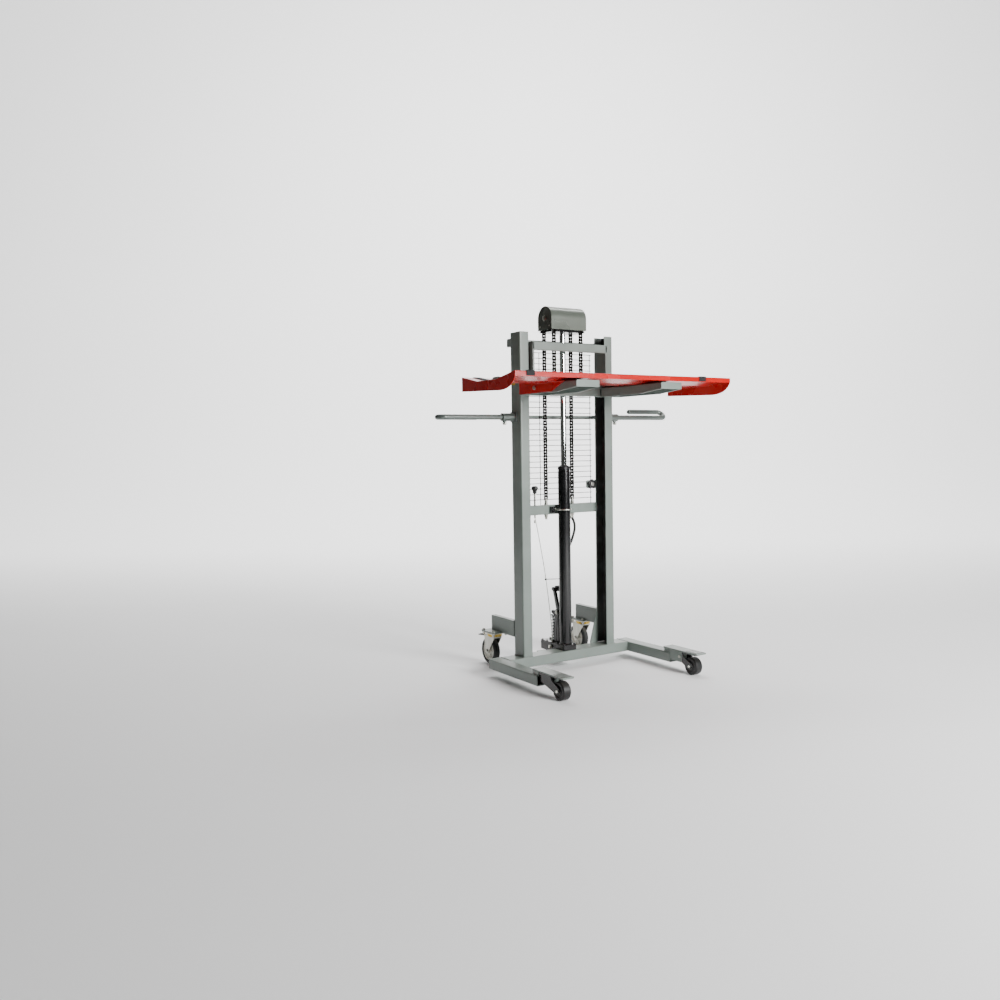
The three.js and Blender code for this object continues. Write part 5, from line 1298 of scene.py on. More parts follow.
@dataclass
class LiftHead:
    """Crosshead on the rod, with its pulleys, cover and both chains."""

    axle_z: float = 1537.0
    pitch: float = 37.0
    pulley_x: float = 72.0
    cover: float = 52.0
    half: float = 93.5
    link: ChainLink = field(default_factory=ChainLink)

    def build(self) -> None:
        """Make the crosshead, the axle, the cover, the pulleys and the chains."""
        self.crosshead()
        self.axle()
        self.hood()
        for name, side in SIDES:
            self.pulley(name, side * self.pulley_x)
            self.chain(name, side * self.pulley_x)

    def crosshead(self) -> None:
        """Block on a slotted plate."""
        bm = bmesh.new()
        block(bm, (-50.0, 50.0), (-22.0, 22.0), (1484.0, 1557.0), 4.0, "x", 1.2)
        half_x, half_y, slot_y, x0, x1 = 88.0, 45.0, 28.5, 61.0, 83.0
        outline = [(-half_x, -half_y), (-x1, -half_y), (-x1, -slot_y), (-x0, -slot_y), (-x0, -half_y),
                   (x0, -half_y), (x0, -slot_y), (x1, -slot_y), (x1, -half_y), (half_x, -half_y)]
        outline += [(-x, -y) for x, y in outline]
        prism(bm, rounded(outline, 1.0, steps=2), (1477.0, 1485.0), "z", 0.6)
        bead(bm, [(-49, -22.6, 1485.6), (49, -22.6, 1485.6)], 2.0)
        bead(bm, [(-49, 22.6, 1485.6), (49, 22.6, 1485.6)], 2.0)
        BENCH.set("crosshead_block", bm, "ram", BLACK_PAINT, "crosshead")

    def axle(self) -> None:
        """Axle with a nut and washer outside each end of the cover."""
        bm = bmesh.new()
        centre = (0.0, self.axle_z)
        disc(bm, 10.0, (-94.6, 94.6), "x", centre, 0.8, 40)
        for _, side in SIDES:
            bolt(bm, "x", side * (self.half + 0.2), centre, 19.0, 5.0, out=side, washer=1.4)
        BENCH.set("pulley_axle_bolt", bm, "ram", ZINC, "pulley_axle")

    def hood(self) -> None:
        """Arched sheet cover with end plates, seams and screws."""
        wall = 2.4
        middle = self.cover - wall / 2
        arc = [(middle * math.cos(a), self.axle_z + middle * math.sin(a))
               for a in (math.pi * k / 40 for k in range(41))]
        path = [(middle, 1487.0), (middle, 1512.0), *arc, (-middle, 1512.0), (-middle, 1487.0)]
        bm = bmesh.new()
        prism(bm, folded(path, wall), (-self.half, self.half), "x", 0.7)
        face = self.cover - 0.9
        edge = [(face * math.cos(a), self.axle_z + face * math.sin(a)) for a in
                (math.pi * k / 40 for k in range(41))]
        plate = [(face, 1487.0), *edge, (-face, 1487.0)]
        for _, side in SIDES:
            prism(bm, plate, (side * (self.half - 2.6), side * (self.half - 0.1)), "x", 0.3)
        BENCH.set("pulley_hood", bm, "ram", COVER_PAINT, "pulley_cover", smooth=50)
        screws = bmesh.new()
        for _, side in SIDES:
            for y in (-34.0, 34.0):
                turned(screws, [(0, side * (self.half - 0.4)), (4.2, side * (self.half - 0.4)),
                                (3.4, side * (self.half + 1.4)), (0, side * (self.half + 2.0))],
                       "x", (y, 1503.0), 0.5, 24)
        BENCH.set("hood_screws", screws, "ram", ZINC)

    def pulley(self, name: str, x: float) -> None:
        """Grooved pulley with a dished web and a bearing."""
        groove, rim = self.pitch - 6.8, self.pitch + 5.5
        bm = bmesh.new()
        profile = [(10.3, -11.4), (18.0, -11.4), (19.5, -8.0), (26.0, -8.0), (27.5, -12.0), (rim, -12.2),
                   (rim, -9.6), (groove, -9.3), (groove, 9.3), (rim, 9.6), (rim, 12.2), (27.5, 12.0),
                   (26.0, 8.0), (19.5, 8.0), (18.0, 11.4), (10.3, 11.4)]
        turned(bm, [(r, x + a) for r, a in profile], "x", (0.0, self.axle_z), 0.6, 64, closed=True)
        BENCH.set(f"{name}_grooved_pulley", bm, f"pulley_{name}", ROLLER_STEEL, f"pulley_{name}")

    def chain(self, name: str, x: float) -> None:
        """Rear run from the anchor, the wrap over the pulley, and the front run to the carriage."""
        low, rear_links, wrap_links, front_links = 749.6, 62, 9, 23
        rear_pitch = (self.axle_z - low) / rear_links
        rear = [(self.pitch, low + k * rear_pitch) for k in range(rear_links + 1)]
        wrap = [(self.pitch * math.cos(a), self.axle_z + self.pitch * math.sin(a))
                for a in (math.pi * k / wrap_links for k in range(wrap_links + 1))]
        front_end = 1241.5
        front_pitch = (self.axle_z - front_end) / front_links
        front = [(-self.pitch, self.axle_z - k * front_pitch) for k in range(front_links + 1)]
        bm = bmesh.new()
        self.link.run(bm, x, rear, own=slice(1, None))
        run = BENCH.set(f"{name}_chain_rear_run", bm, "frame", OILED_CHAIN, smooth=50)
        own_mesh(run)
        bm = bmesh.new()
        self.link.run(bm, x, wrap, own=slice(1, -1))
        BENCH.set(f"{name}_chain_over_pulley", bm, "ram", OILED_CHAIN, f"chain_{name}", smooth=50)
        bm = bmesh.new()
        self.link.run(bm, x, front, 1)
        run = BENCH.set(f"{name}_chain_front_run", bm, None, OILED_CHAIN, smooth=50)
        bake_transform(run)
        lug = bmesh.new()
        for edge in (-1, 1):
            cheek = [(-self.pitch - 5.0, 1232.0), (-self.pitch + 5.0, 1232.0), (-self.pitch + 5.0, 1246.6),
                     (-self.pitch - 5.0, 1246.6)]
            prism(lug, rounded(cheek, [0, 0, 4.5, 4.5]), (x + edge * 6.5, x + edge * 8.7), "x", 0.4)
        disc(lug, 2.6, (x - 8.9, x + 8.9), "x", (-self.pitch, front_end), 0.5, 16)
        BENCH.set(f"{name}_chain_lug_pin", lug, "carriage", ZINC)


@dataclass
class Carriage:
    """Welded carriage that runs in the masts, with its rollers and forks."""

    side: float = 200.0
    plate: float = 8.0
    front: float = -62.0
    rear: float = 18.0
    low: float = 1200.0
    high: float = 1428.0
    fork_x: float = 216.0
    fork_half: float = 56.0
    fork_top: float = 1238.0
    tip: float = -460.5
    wall: float = 6.0

    def build(self) -> None:
        """Make the welded frame, four rollers and two forks."""
        self.weldment()
        for name, side in SIDES:
            for level, z in (("lower", 1232.0), ("upper", 1394.0)):
                self.roller(f"{level}_{name}", side, z)
            self.fork(name, side)

    def weldment(self) -> None:
        """Side plates, box crossbars, chain lugs and roller stubs."""
        bm = bmesh.new()
        for _, side in SIDES:
            outline = rounded([(self.front, self.low), (self.rear, self.low), (self.rear, self.high),
                               (self.front, self.high)], [2.0, 16.0, 16.0, 2.0])
            prism(bm, outline, (side * (self.side - self.plate), side * self.side), "x", 0.8)
            x = side * 72.0
            block(bm, (x - 18, x + 18), (-47.0, -28.5), (self.low, self.low + 36), 3.0, "z", 1.0)
            for z in (1232.0, 1394.0):
                disc(bm, 12.0, (side * 198.0, side * 241.0), "x", (0.0, z), 1.0, 40)
                collar(bm, 12.0, 17.0, (side * 199.8, side * 203.6), "x", (0.0, z), 0.8, 40)
        for z in (self.low, self.high - 36):
            block(bm, (-199.0, 199.0), (self.front, self.front + 16), (z, z + 36), 3.0, "x", 0.5)
            for _, side in SIDES:
                bead(bm, [(side * 191.6, -45.6, z + 2), (side * 191.6, -45.6, z + 34)], 2.0)
        BENCH.set("carriage_weldment", bm, "carriage", FRAME_PAINT, "carriage_frame")

    def roller(self, name: str, side: int, z: float) -> None:
        """Mast roller with a crowned face, a shield and a retaining ring."""
        near, far = side * 207.0, side * 239.0
        bm = bmesh.new()
        radius = 32.0
        profile = [(12.4, near), (radius - 3, near), (radius, near + side * 3), (radius, far - side * 3),
                   (radius - 3, far), (24.0, far), (23.0, far - side * 1.6), (15.5, far - side * 1.6),
                   (15.0, far - side * 0.4), (12.4, far - side * 0.4)]
        turned(bm, profile, "x", (0.0, z), 0.8, 64, closed=True)
        BENCH.set(f"{name}_mast_roller", bm, f"roller_{name}", ROLLER_STEEL, f"roller_{name}")

    def section(self, side: int, y: float, depth: float) -> list[Vector]:
        """Inverted U of the fork at one place along it."""
        x0, x1 = self.fork_x - self.fork_half, self.fork_x + self.fork_half
        bottom, top = self.fork_top - depth, self.fork_top
        w = self.wall
        corners = [(x0, bottom), (x0, top), (x1, top), (x1, bottom), (x1 - w, bottom), (x1 - w, top - w),
                   (x0 + w, top - w), (x0 + w, bottom)]
        line = rounded(corners, [1.2, 7.0, 7.0, 1.2, 1.2, 2.5, 2.5, 1.2], steps=5)
        return [Vector((side * x, y, z)) for x, z in line]

    def fork(self, name: str, side: int) -> None:
        """Pressed fork with a closed tip and a bolted heel plate."""
        bm = bmesh.new()
        depths = [(-62.3, 40.0), (-200.0, 40.0), (-330.0, 40.0), (-390.0, 34.0),
                  (-440.0, 29.0), (self.tip + 0.6, 27.0)]
        rings = [[bm.verts.new(p) for p in self.section(side, y, depth)] for y, depth in depths]
        bridge(bm, rings)
        bm.faces.new(rings[0])
        bm.faces.new(rings[-1][::-1])
        x = (side * (self.fork_x - self.fork_half), side * (self.fork_x + self.fork_half))
        block(bm, x, (self.tip, self.tip + 5), (self.fork_top - 27, self.fork_top), 6.0, "y", 0.9)
        block(bm, x, (-70.3, -62.3), (1198.0, 1300.0), 4.0, "y", 0.9)
        inner = (side * (self.fork_x - 50), side * (self.fork_x + 50))
        bead(bm, [(inner[0], -70.9, self.fork_top + 0.4), (inner[1], -70.9, self.fork_top + 0.4)], 2.4)
        BENCH.set(f"{name}_fork_blade", bm, "carriage", FRAME_PAINT, f"fork_{name}", smooth=50)
        bolts = bmesh.new()
        for offset in (-36.0, 36.0):
            bolt(bolts, "y", -70.3, (side * (self.fork_x + offset), 1284.0), 13.0, 6.0, out=-1)
        BENCH.set(f"{name}_fork_heel_bolts", bolts, "carriage", ZINC)


@dataclass
class RollCradle:
    """Folded red sheet that the roll lies in."""

    half: float = 554.0
    sheet: float = 3.0
    rear: float = -71.0
    tip: float = -460.5
    lip_top: float = 1265.0
    lip: float = 21.0
    floor: float = 1241.3

    def trough(self) -> list[Flat]:
        """Top of the sheet from the rear edge to the front lip, as [Y, Z]."""
        return [(self.rear, self.lip_top), (-190.0, self.floor), (-330.0, self.floor),
                (self.tip, self.lip_top)]

    def build(self) -> None:
        """Make the folded sheet, its end plates and its fork pockets."""
        bm = bmesh.new()
        t = self.sheet / 2
        path = [(self.rear, self.lip_top - t), (-190.0, self.floor - t), (-330.0, self.floor - t),
                (self.tip + t, self.lip_top - t), (self.tip + t, self.lip_top - self.lip)]
        line = rounded(path, [0, 26.0, 26.0, 3.2, 0], closed=False, steps=7)
        prism(bm, folded(line, self.sheet), (-self.half, self.half), "x", 0.7)
        for _, side in SIDES:
            self.ear(bm, side)
            self.pocket(bm, side)
        BENCH.set("roll_cradle_sheet", bm, "carriage", RED_PAINT, "cradle", smooth=50)
        bolts = bmesh.new()
        for _, side in SIDES:
            bolt(bolts, "x", side * 278.0, (-184.0, 1222.0), 13.0, 5.0, out=side)
        BENCH.set("pocket_clamp_bolts", bolts, "carriage", ZINC)

    def ear(self, bm: bmesh.types.BMesh, side: int) -> None:
        """End plate with a long rounded lower front corner, welded under the sheet."""
        under = [(y, z - self.sheet * 0.8) for y, z in self.trough()]
        corner = []
        for k in range(13):
            t = k / 12
            y = (1 - t) ** 2 * (self.tip + 0.4) + 2 * t * (1 - t) * (self.tip + 24) + t * t * (self.tip + 108)
            z = (1 - t) ** 2 * (self.lip_top - self.lip) + 2 * t * (1 - t) * 1197.0 + t * t * 1197.0
            corner.append((y, z))
        outline = [(self.rear, 1207.0), (self.rear, self.lip_top - 2.6), *under[1:3],
                   (self.tip + 0.4, self.lip_top - 2.6), *corner]
        prism(bm, outline, (side * (self.half - self.sheet), side * (self.half - 0.05)), "x", 0.7)
        inner = side * (self.half - self.sheet - 0.5)
        line = [(inner, y, z - self.sheet - 0.6) for y, z in self.trough()]
        bead(bm, [(line[0][0], -80.0, line[0][2] - 2), line[1], line[2],
                  (inner, -452.0, line[3][2] - 2)], 1.9)

    def pocket(self, bm: bmesh.types.BMesh, side: int) -> None:
        """Cheek that keeps the cradle on a fork."""
        roof = self.floor - 1.6
        outline = rounded([(self.rear, 1201.0), (-302.0, 1201.0), (-394.0, roof), (-190.0, roof),
                           (self.rear, self.lip_top - 2.0)], [6.0, 10.0, 2.0, 0, 0])
        prism(bm, outline, (side * 275.0, side * 278.0), "x", 0.6)
        bead(bm, [(side * 278.4, -192.0, roof - 1.8), (side * 278.4, -380.0, roof - 1.8)], 1.7)


@dataclass
class Straps:
    """Webbing straps that hold the roll, each with a ratchet buckle."""

    width: float = 38.0
    thickness: float = 2.2
    places: tuple[tuple[str, float], ...] = (("left", -485.0), ("right", 390.0))

    def build(self, cradle: RollCradle) -> None:
        """Lay both straps in the empty cradle."""
        for name, x in self.places:
            self.webbing(name, x, cradle)
            self.buckle(name, x, cradle.floor + 2.9)

    def webbing(self, name: str, x: float, cradle: RollCradle) -> None:
        """Strap along the trough and over the lip, slightly crowned."""
        lift = 0.4 + self.thickness / 2
        top = [(y, z + lift) for y, z in cradle.trough()]
        front = cradle.tip - lift
        path = [(top[0][0] - 1, top[0][1] - 0.2), *top[1:3], (front, cradle.lip_top + lift),
                (front, cradle.lip_top - 18.4)]
        line = rounded(path, [0, 30.0, 30.0, 3.0, 0], closed=False, steps=8)
        fine: list[Vector] = []
        for a, b in zip(line, line[1:]):
            count = max(1, int((Vector(b) - Vector(a)).length / 6))
            fine += [Vector(a).lerp(Vector(b), k / count) for k in range(count)]
        fine.append(Vector(line[-1]))
        bm = bmesh.new()
        columns = 12
        rings = []
        for i, point in enumerate(fine):
            before, after = fine[max(i - 1, 0)], fine[min(i + 1, len(fine) - 1)]
            way = (after - before).normalized()
            out = Vector((way.y, -way.x)) * -1 if way.x < 0 else Vector((-way.y, way.x))
            if way.y < -0.9:
                out = Vector((-1.0, 0.0))
            ring = []
            for layer in (1, -1):
                for c in range(columns + 1):
                    u = (c if layer > 0 else columns - c) / columns
                    thin = self.thickness / 2 * (1 - 0.55 * abs(2 * u - 1) ** 6)
                    place = point + out * thin * layer
                    ring.append(bm.verts.new(Vector((x + (u - 0.5) * self.width, place.x, place.y))))
            rings.append(ring)
        bridge(bm, rings)
        bm.faces.new(rings[0][::-1])
        bm.faces.new(rings[-1])
        BENCH.set(f"{name}_strap_webbing", bm, "carriage", WEBBING, f"strap_{name}", smooth=60)

    def buckle(self, name: str, x: float, bed: float) -> None:
        """Ratchet buckle: cheeks, spool, toothed wheels, and a handle with its grip."""
        middle = -260.0
        bm = bmesh.new()
        cheek = rounded([(middle - 36, bed), (middle + 36, bed), (middle + 36, bed + 6),
                         (middle + 10, bed + 12),
                         (middle - 14, bed + 12), (middle - 36, bed + 5)], [1, 1, 2, 5, 5, 2])
        for edge in (-1, 1):
            prism(bm, cheek, (x + edge * 20.4, x + edge * 22.2), "x", 0.3)
            self.wheel(bm, x + edge * 18.6, (middle - 4, bed + 6.4))
        disc(bm, 3.6, (x - 23.4, x + 23.4), "x", (middle - 4, bed + 6.4), 0.5, 24)
        for y in (middle - 31, middle + 31):
            disc(bm, 2.0, (x - 23.0, x + 23.0), "x", (y, bed + 2.6), 0.4, 16)
        block(bm, (x - 20.2, x + 20.2), (middle - 30, middle + 30), (bed + 0.1, bed + 1.6), 2.0, "z", 0.3)
        BENCH.set(f"{name}_ratchet_buckle", bm, "carriage", ZINC, smooth=45)
        grip = bmesh.new()
        arm = rounded([(middle + 2, bed + 8.4), (middle + 34, bed + 8.8), (middle + 36.4, bed + 11.4),
                       (middle + 6, bed + 12.6)], [2, 2, 1.6, 2])
        prism(grip, arm, (x - 20.0, x + 20.0), "x", 0.8)
        for k in range(5):
            y = middle + 12 + k * 4.6
            disc(grip, 0.9, (x - 17.0, x + 17.0), "x", (y, bed + 12.0 - k * 0.16), 0.4, 12)
        BENCH.set(f"{name}_ratchet_grip", grip, "carriage", KNOB_PLASTIC)

    @staticmethod
    def wheel(bm: bmesh.types.BMesh, x: float, centre: Flat) -> None:
        """Toothed wheel of the ratchet."""
        outline = []
        for tooth in range(10):
            for share, reach in ((0.0, 6.0), (0.15, 4.6), (0.85, 5.6)):
                a = 2 * math.pi * (tooth + share) / 10
                outline.append((centre[0] + reach * math.cos(a), centre[1] + reach * math.sin(a)))
        prism(bm, outline, (x - 1.0, x + 1.0), "x", 0.15)


@dataclass
class FrontWheels:
    """Plate, fork and roller wheel at the end of each leg."""

    x: float = 347.0
    y: float = -445.5
    radius: float = 37.5
    half: float = 19.0

    def build(self) -> None:
        """Make both corners."""
        for name, side in SIDES:
            self.plate(name, side)
            self.fork(name, side)
            self.wheel(name, side)

    def plate(self, name: str, side: int) -> None:
        """Cover plate over the wheel, its packing block, the box in front of the leg, and a dark patch of
        painted shade on the plate.
        """
        bm = bmesh.new()
        block(bm, (side * 321, side * 377), (-493.0, -284.0), (92.0, 98.0), 5.0, "z", 1.0)
        block(bm, (side * 327, side * 375), (-325.0, -284.0), (77.3, 93.0), 3.0, "z", 0.5)
        block(bm, (side * 323.5, side * 351), (-400.0, -325.3), (46.0, 92.5), 2.5, "x", 0.6)
        bead(bm, [(side * 326.6, -323, 77.8), (side * 326.6, -286, 77.8)], 2.0)
        bead(bm, [(side * 375.3, -323, 77.8), (side * 375.3, -286, 77.8)], 1.6)
        bead(bm, [(side * 327, -283.6, 91.4), (side * 374, -283.6, 91.4)], 2.0)
        bead(bm, [(side * 323.4, -398, 91.6), (side * 323.4, -328, 91.6)], 1.8)
        BENCH.set(f"{name}_front_cover_plate", bm, "frame", FRAME_PAINT, f"front_plate_{name}")
        # Thin dark patch on top of the cover plate: painted shade where the wheel housing opens.
        pad = bmesh.new()
        block(pad, (side * 327, side * 372), (-484.0, -418.0), (97.6, 99.2), 2.0, "z", 0.4)
        BENCH.set(f"{name}_front_plate_shade_patch", pad, "frame", SHADE_PATCH_PAINT)
        bolts = bmesh.new()
        bolt(bolts, "x", side * 323.5, (-386.0, 70.0), 10.0, 4.4, out=-side, washer=1.0)
        BENCH.set(f"{name}_front_box_bolt", bolts, "frame", ZINC)

    def fork(self, name: str, side: int) -> None:
        """Wheel fork of two sloping arms under a roof plate, with its axle bolt."""
        x, inner, outer = side * self.x, self.half + 1.5, self.half + 5.5
        top = 91.7
        end = [(self.y + 8, 24.5), (self.y - 8, 26.5), (self.y - 14, 37.5), (self.y - 6, 52.5),
               (self.y + 36, 73.5), (self.y + 42, top)]
        radii = [0.5, 2.0, 7.0, 7.0, 8.0, 8.0, 12.0, 0.5]
        bm = bmesh.new()
        far = rounded([(-325.3, top), (-325.3, 58.0), *end], radii, steps=5)
        near = rounded([(-400.3, top), (-400.3, 46.0), *end], radii, steps=5)
        prism(bm, far, (x + side * inner, x + side * outer), "x", 0.8)
        prism(bm, near, (x - side * inner, x - side * outer), "x", 0.8)
        block(bm, (x - outer, x + outer), (-480.8, -400.4), (top - 4, top), 3.0, "x", 0.4)
        BENCH.set(f"{name}_front_wheel_fork", bm, "frame", BLACK_PAINT, f"front_fork_{name}")
        axle = bmesh.new()
        centre = (self.y, self.radius)
        disc(axle, 6.0, (x - outer - 0.4, x + outer + 0.4), "x", centre, 0.5, 28)
        bolt(axle, "x", x + outer, centre, 9.6, 4.4, washer=1.4)
        bolt(axle, "x", x - outer, centre, 9.6, 4.4, out=-1, washer=1.4)
        BENCH.set(f"{name}_front_axle_bolts", axle, "frame", ZINC)

    def wheel(self, name: str, side: int) -> None:
        """Solid nylon roller with a dished hub and a bearing shield."""
        x, h = side * self.x, self.half
        bm = bmesh.new()
        profile = [(6.4, -h), (14.0, -h), (15.0, -h + 2.0), (24.0, -h + 3.4), (26.0, -h + 0.6), (33.5, -h),
                   (self.radius, -h + 4.5), (self.radius, h - 4.5), (33.5, h),
                   (26.0, h - 0.6), (24.0, h - 3.4),
                   (15.0, h - 2.0), (14.0, h), (6.4, h)]
        line = rounded([(r, x + a) for r, a in profile],
                       [0.5, 0.6, 1, 2, 2, 2.4, 3.6, 3.6, 2.4, 2, 2, 1, 0.6, 0.5])
        lathe(bm, line, "x", (self.y, self.radius), 80, closed=True)
        BENCH.set(f"{name}_front_roller", bm, f"front_wheel_{name}", WHEEL_NYLON, f"front_wheel_{name}")
        shields = bmesh.new()
        for edge in (-1, 1):
            collar(shields, 6.6, 12.6, (x + edge * (h - 0.8), x + edge * (h + 0.3)), "x",
                   (self.y, self.radius), 0.3, 40)
        BENCH.set(f"{name}_front_bearing_shields", shields, f"front_wheel_{name}", ZINC)


@dataclass
class RearCasters:
    """Swivel casters with brakes, each under an arm behind its mast."""

    x: float = 250.0
    y: float = 198.0
    trail: float = 36.0
    radius: float = 62.5
    half: float = 15.0
    height: float = 155.0

    def build(self) -> None:
        """Make both corners."""
        for name, side in SIDES:
            x = side * self.x
            self.arm(name, side, x)
            self.plate(name, x)
            self.fork(name, x)
            self.wheel(name, x)
            self.brake(name, x)

    def arm(self, name: str, side: int, x: float) -> None:
        """Box arm on the mast, with the pad that the caster is bolted to."""
        bm = bmesh.new()
        block(bm, (side * 225, side * 250), (37.8, 224.0), (155.3, 226.3), 3.5, "y", 1.0)
        block(bm, (x - 42, x + 42), (self.y - 50, self.y + 50), (155.3, 160.3), 7.0, "z", 0.8)
        for face in (225, 250):
            out = 0.5 if face == 250 else -0.5
            bead(bm, [(side * (face + out), self.y - 48, 160.8), (side * (face + out), 222.0, 160.8)], 2.1)
        bead(bm, [(side * 226, 38.3, 226.6), (side * 249, 38.3, 226.6)], 2.1)
        bead(bm, [(side * 250.4, 38.3, 160), (side * 250.4, 38.3, 224)], 2.1)
        BENCH.set(f"{name}_caster_arm_box", bm, "frame", FRAME_PAINT, f"caster_arm_{name}")
        plug = bmesh.new()
        block(plug, (side * 226.5, side * 248.5), (223.6, 226.4), (156.8, 224.8), 3.0, "y", 0.9)
        BENCH.set(f"{name}_caster_arm_plug", plug, "frame", KNOB_PLASTIC)

    def plate(self, name: str, x: float) -> None:
        """Bolted top plate with its fixed race."""
        bm = bmesh.new()
        under = self.height - 5
        block(bm, (x - 42, x + 42), (self.y - 50, self.y + 50), (under, self.height), 9.0, "z", 1.0)
        for dx in (-33.0, 33.0):
            for dy in (-40.0, 40.0):
                centre = (x + dx, self.y + dy)
                bolt(bm, "z", 160.3, centre, 12.0, 5.5)
                bolt(bm, "z", under, centre, 12.0, 6.0, out=-1, stub=3.0)
        disc(bm, 6.0, (128.8, 141.0), "z", (x, self.y), 0.4, 24)
        BENCH.set(f"{name}_caster_top_plate", bm, "frame", ZINC, f"caster_plate_{name}")
        race = bmesh.new()
        turned(race, [(14.0, under + 0.2), (36.0, under + 0.2), (36.0, under - 4.5), (33.6, under - 7.0),
                      (33.6, under - 10.8), (14.0, under - 10.8)], "z", (x, self.y), 1.2, 64, closed=True)
        BENCH.set(f"{name}_caster_upper_race", race, "frame", YELLOW_ZINC)

    def fork(self, name: str, x: float) -> None:
        """Swivelling fork: crown, two pressed legs, axle bolt and brake pin."""
        bm = bmesh.new()
        crown, low = 138.7, 128.7
        y = self.y
        turned(bm, [(6.3, low), (30.0, low), (31.0, low + 2), (31.0, crown), (6.3, crown)],
               "z", (x, y), 1.0, 56, closed=True)
        shape = [(y - 25, crown), (y + 59, crown), (y + 59, 126.0), (y + 50, self.radius), (y + 44, 49.5),
                 (y + 28, 49.5), (y + 22, self.radius), (y - 25, low)]
        outline = rounded(shape, [2.0, 6.0, 12.0, 9.0, 7.0, 7.0, 9.0, 4.0], steps=5)
        for edge in (-1, 1):
            prism(bm, outline, (x + edge * 17.0, x + edge * 20.5), "x", 0.9)
        block(bm, (x - 20.4, x + 20.4), (y - 25, y + 43), (134.4, crown), 3.0, "x", 0.8)
        BENCH.set(f"{name}_caster_yoke", bm, f"caster_{name}", ZINC, f"caster_fork_{name}")
        axle = bmesh.new()
        centre = (y + self.trail, self.radius)
        disc(axle, 6.0, (x - 20.8, x + 20.8), "x", centre, 0.4, 28)
        bolt(axle, "x", x + 20.5, centre, 12.0, 4.6, washer=1.2)
        bolt(axle, "x", x - 20.5, centre, 12.0, 4.6, out=-1, washer=1.2)
        disc(axle, 4.0, (x - 22.5, x + 22.5), "x", (y + 52, 134.0), 0.8, 24)
        BENCH.set(f"{name}_caster_axle_bolt", axle, f"caster_{name}", ZINC)
        race = bmesh.new()
        turned(race, [(7.0, crown + 0.1), (7.0, low + 6), (33.0, low + 6), (33.0, crown + 0.1)],
               "z", (x, y), 1.4, 64, closed=True)
        BENCH.set(f"{name}_caster_lower_race", race, f"caster_{name}", YELLOW_ZINC)

    def wheel(self, name: str, x: float) -> None:
        """Tyre on a pale hub with a plain bearing cover."""
        centre = (self.y + self.trail, self.radius)
        h, r = self.half, self.radius
        tyre = bmesh.new()
        profile = [(43.0, -h + 1.5), (52.0, -h), (r - 6, -h + 1.0), (r - 1.2, -h + 6),
                   (r, -h + 11), (r, h - 11),
                   (r - 1.2, h - 6), (r - 6, h - 1.0), (52.0, h), (43.0, h - 1.5)]
        lathe(tyre, rounded([(q, x + a) for q, a in profile], 3.0), "x", centre, 96, closed=True)
        BENCH.set(f"{name}_caster_tyre", tyre, f"caster_wheel_{name}", TYRE_RUBBER,
                  f"caster_wheel_{name}", smooth=50)
        hub = bmesh.new()
        web = [(6.5, -h), (13.0, -h), (14.0, -h + 4), (20.0, -h + 7), (34.0, -h + 7),
               (38.0, -h + 2.6), (43.4, -h + 2.0),
               (43.4, h - 2.0), (38.0, h - 2.6), (34.0, h - 7), (20.0, h - 7), (14.0, h - 4),
               (13.0, h), (6.5, h)]
        lathe(hub, rounded([(q, x + a) for q, a in web], 1.2), "x", centre, 72, closed=True)
        for k in range(6):
            angle = math.pi * k / 3
            way = Vector((0, math.cos(angle), math.sin(angle)))
            middle = Vector((x, *centre))
            for edge in (-1, 1):
                line = [middle + way * d + Vector((edge * (h - 5.4), 0, 0)) for d in (14.0, 26.0, 37.0)]
                sweep(hub, line, (2.6, 2.2, 2.6), 10)
        BENCH.set(f"{name}_caster_hub", hub, f"caster_wheel_{name}", HUB_PLASTIC, smooth=50)

    def brake(self, name: str, x: float) -> None:
        """Pressed brake pedal with grip ribs."""
        y, z = self.y + 52, 134.0
        outline = [(y - 7, z + 4), (y - 7, z - 6), (y + 68, z - 13), (y + 68, z - 8), (y + 10, z + 4)]
        bm = bmesh.new()
        prism(bm, rounded(outline, [2.5, 2.5, 1.6, 1.6, 6.0]), (x - 15, x + 15), "x", 1.2)
        for k in range(4):
            along = y + 38 + k * 7.5
            level = z + 4 - (along - y - 10) * 12 / 58
            disc(bm, 1.3, (x - 12.5, x + 12.5), "x", (along, level), 0.8, 14)
        BENCH.set(f"{name}_brake_tread", bm, f"brake_pedal_{name}", BLACK_PAINT, f"brake_pedal_{name}")


# ------------------------------------------------------------------ studio


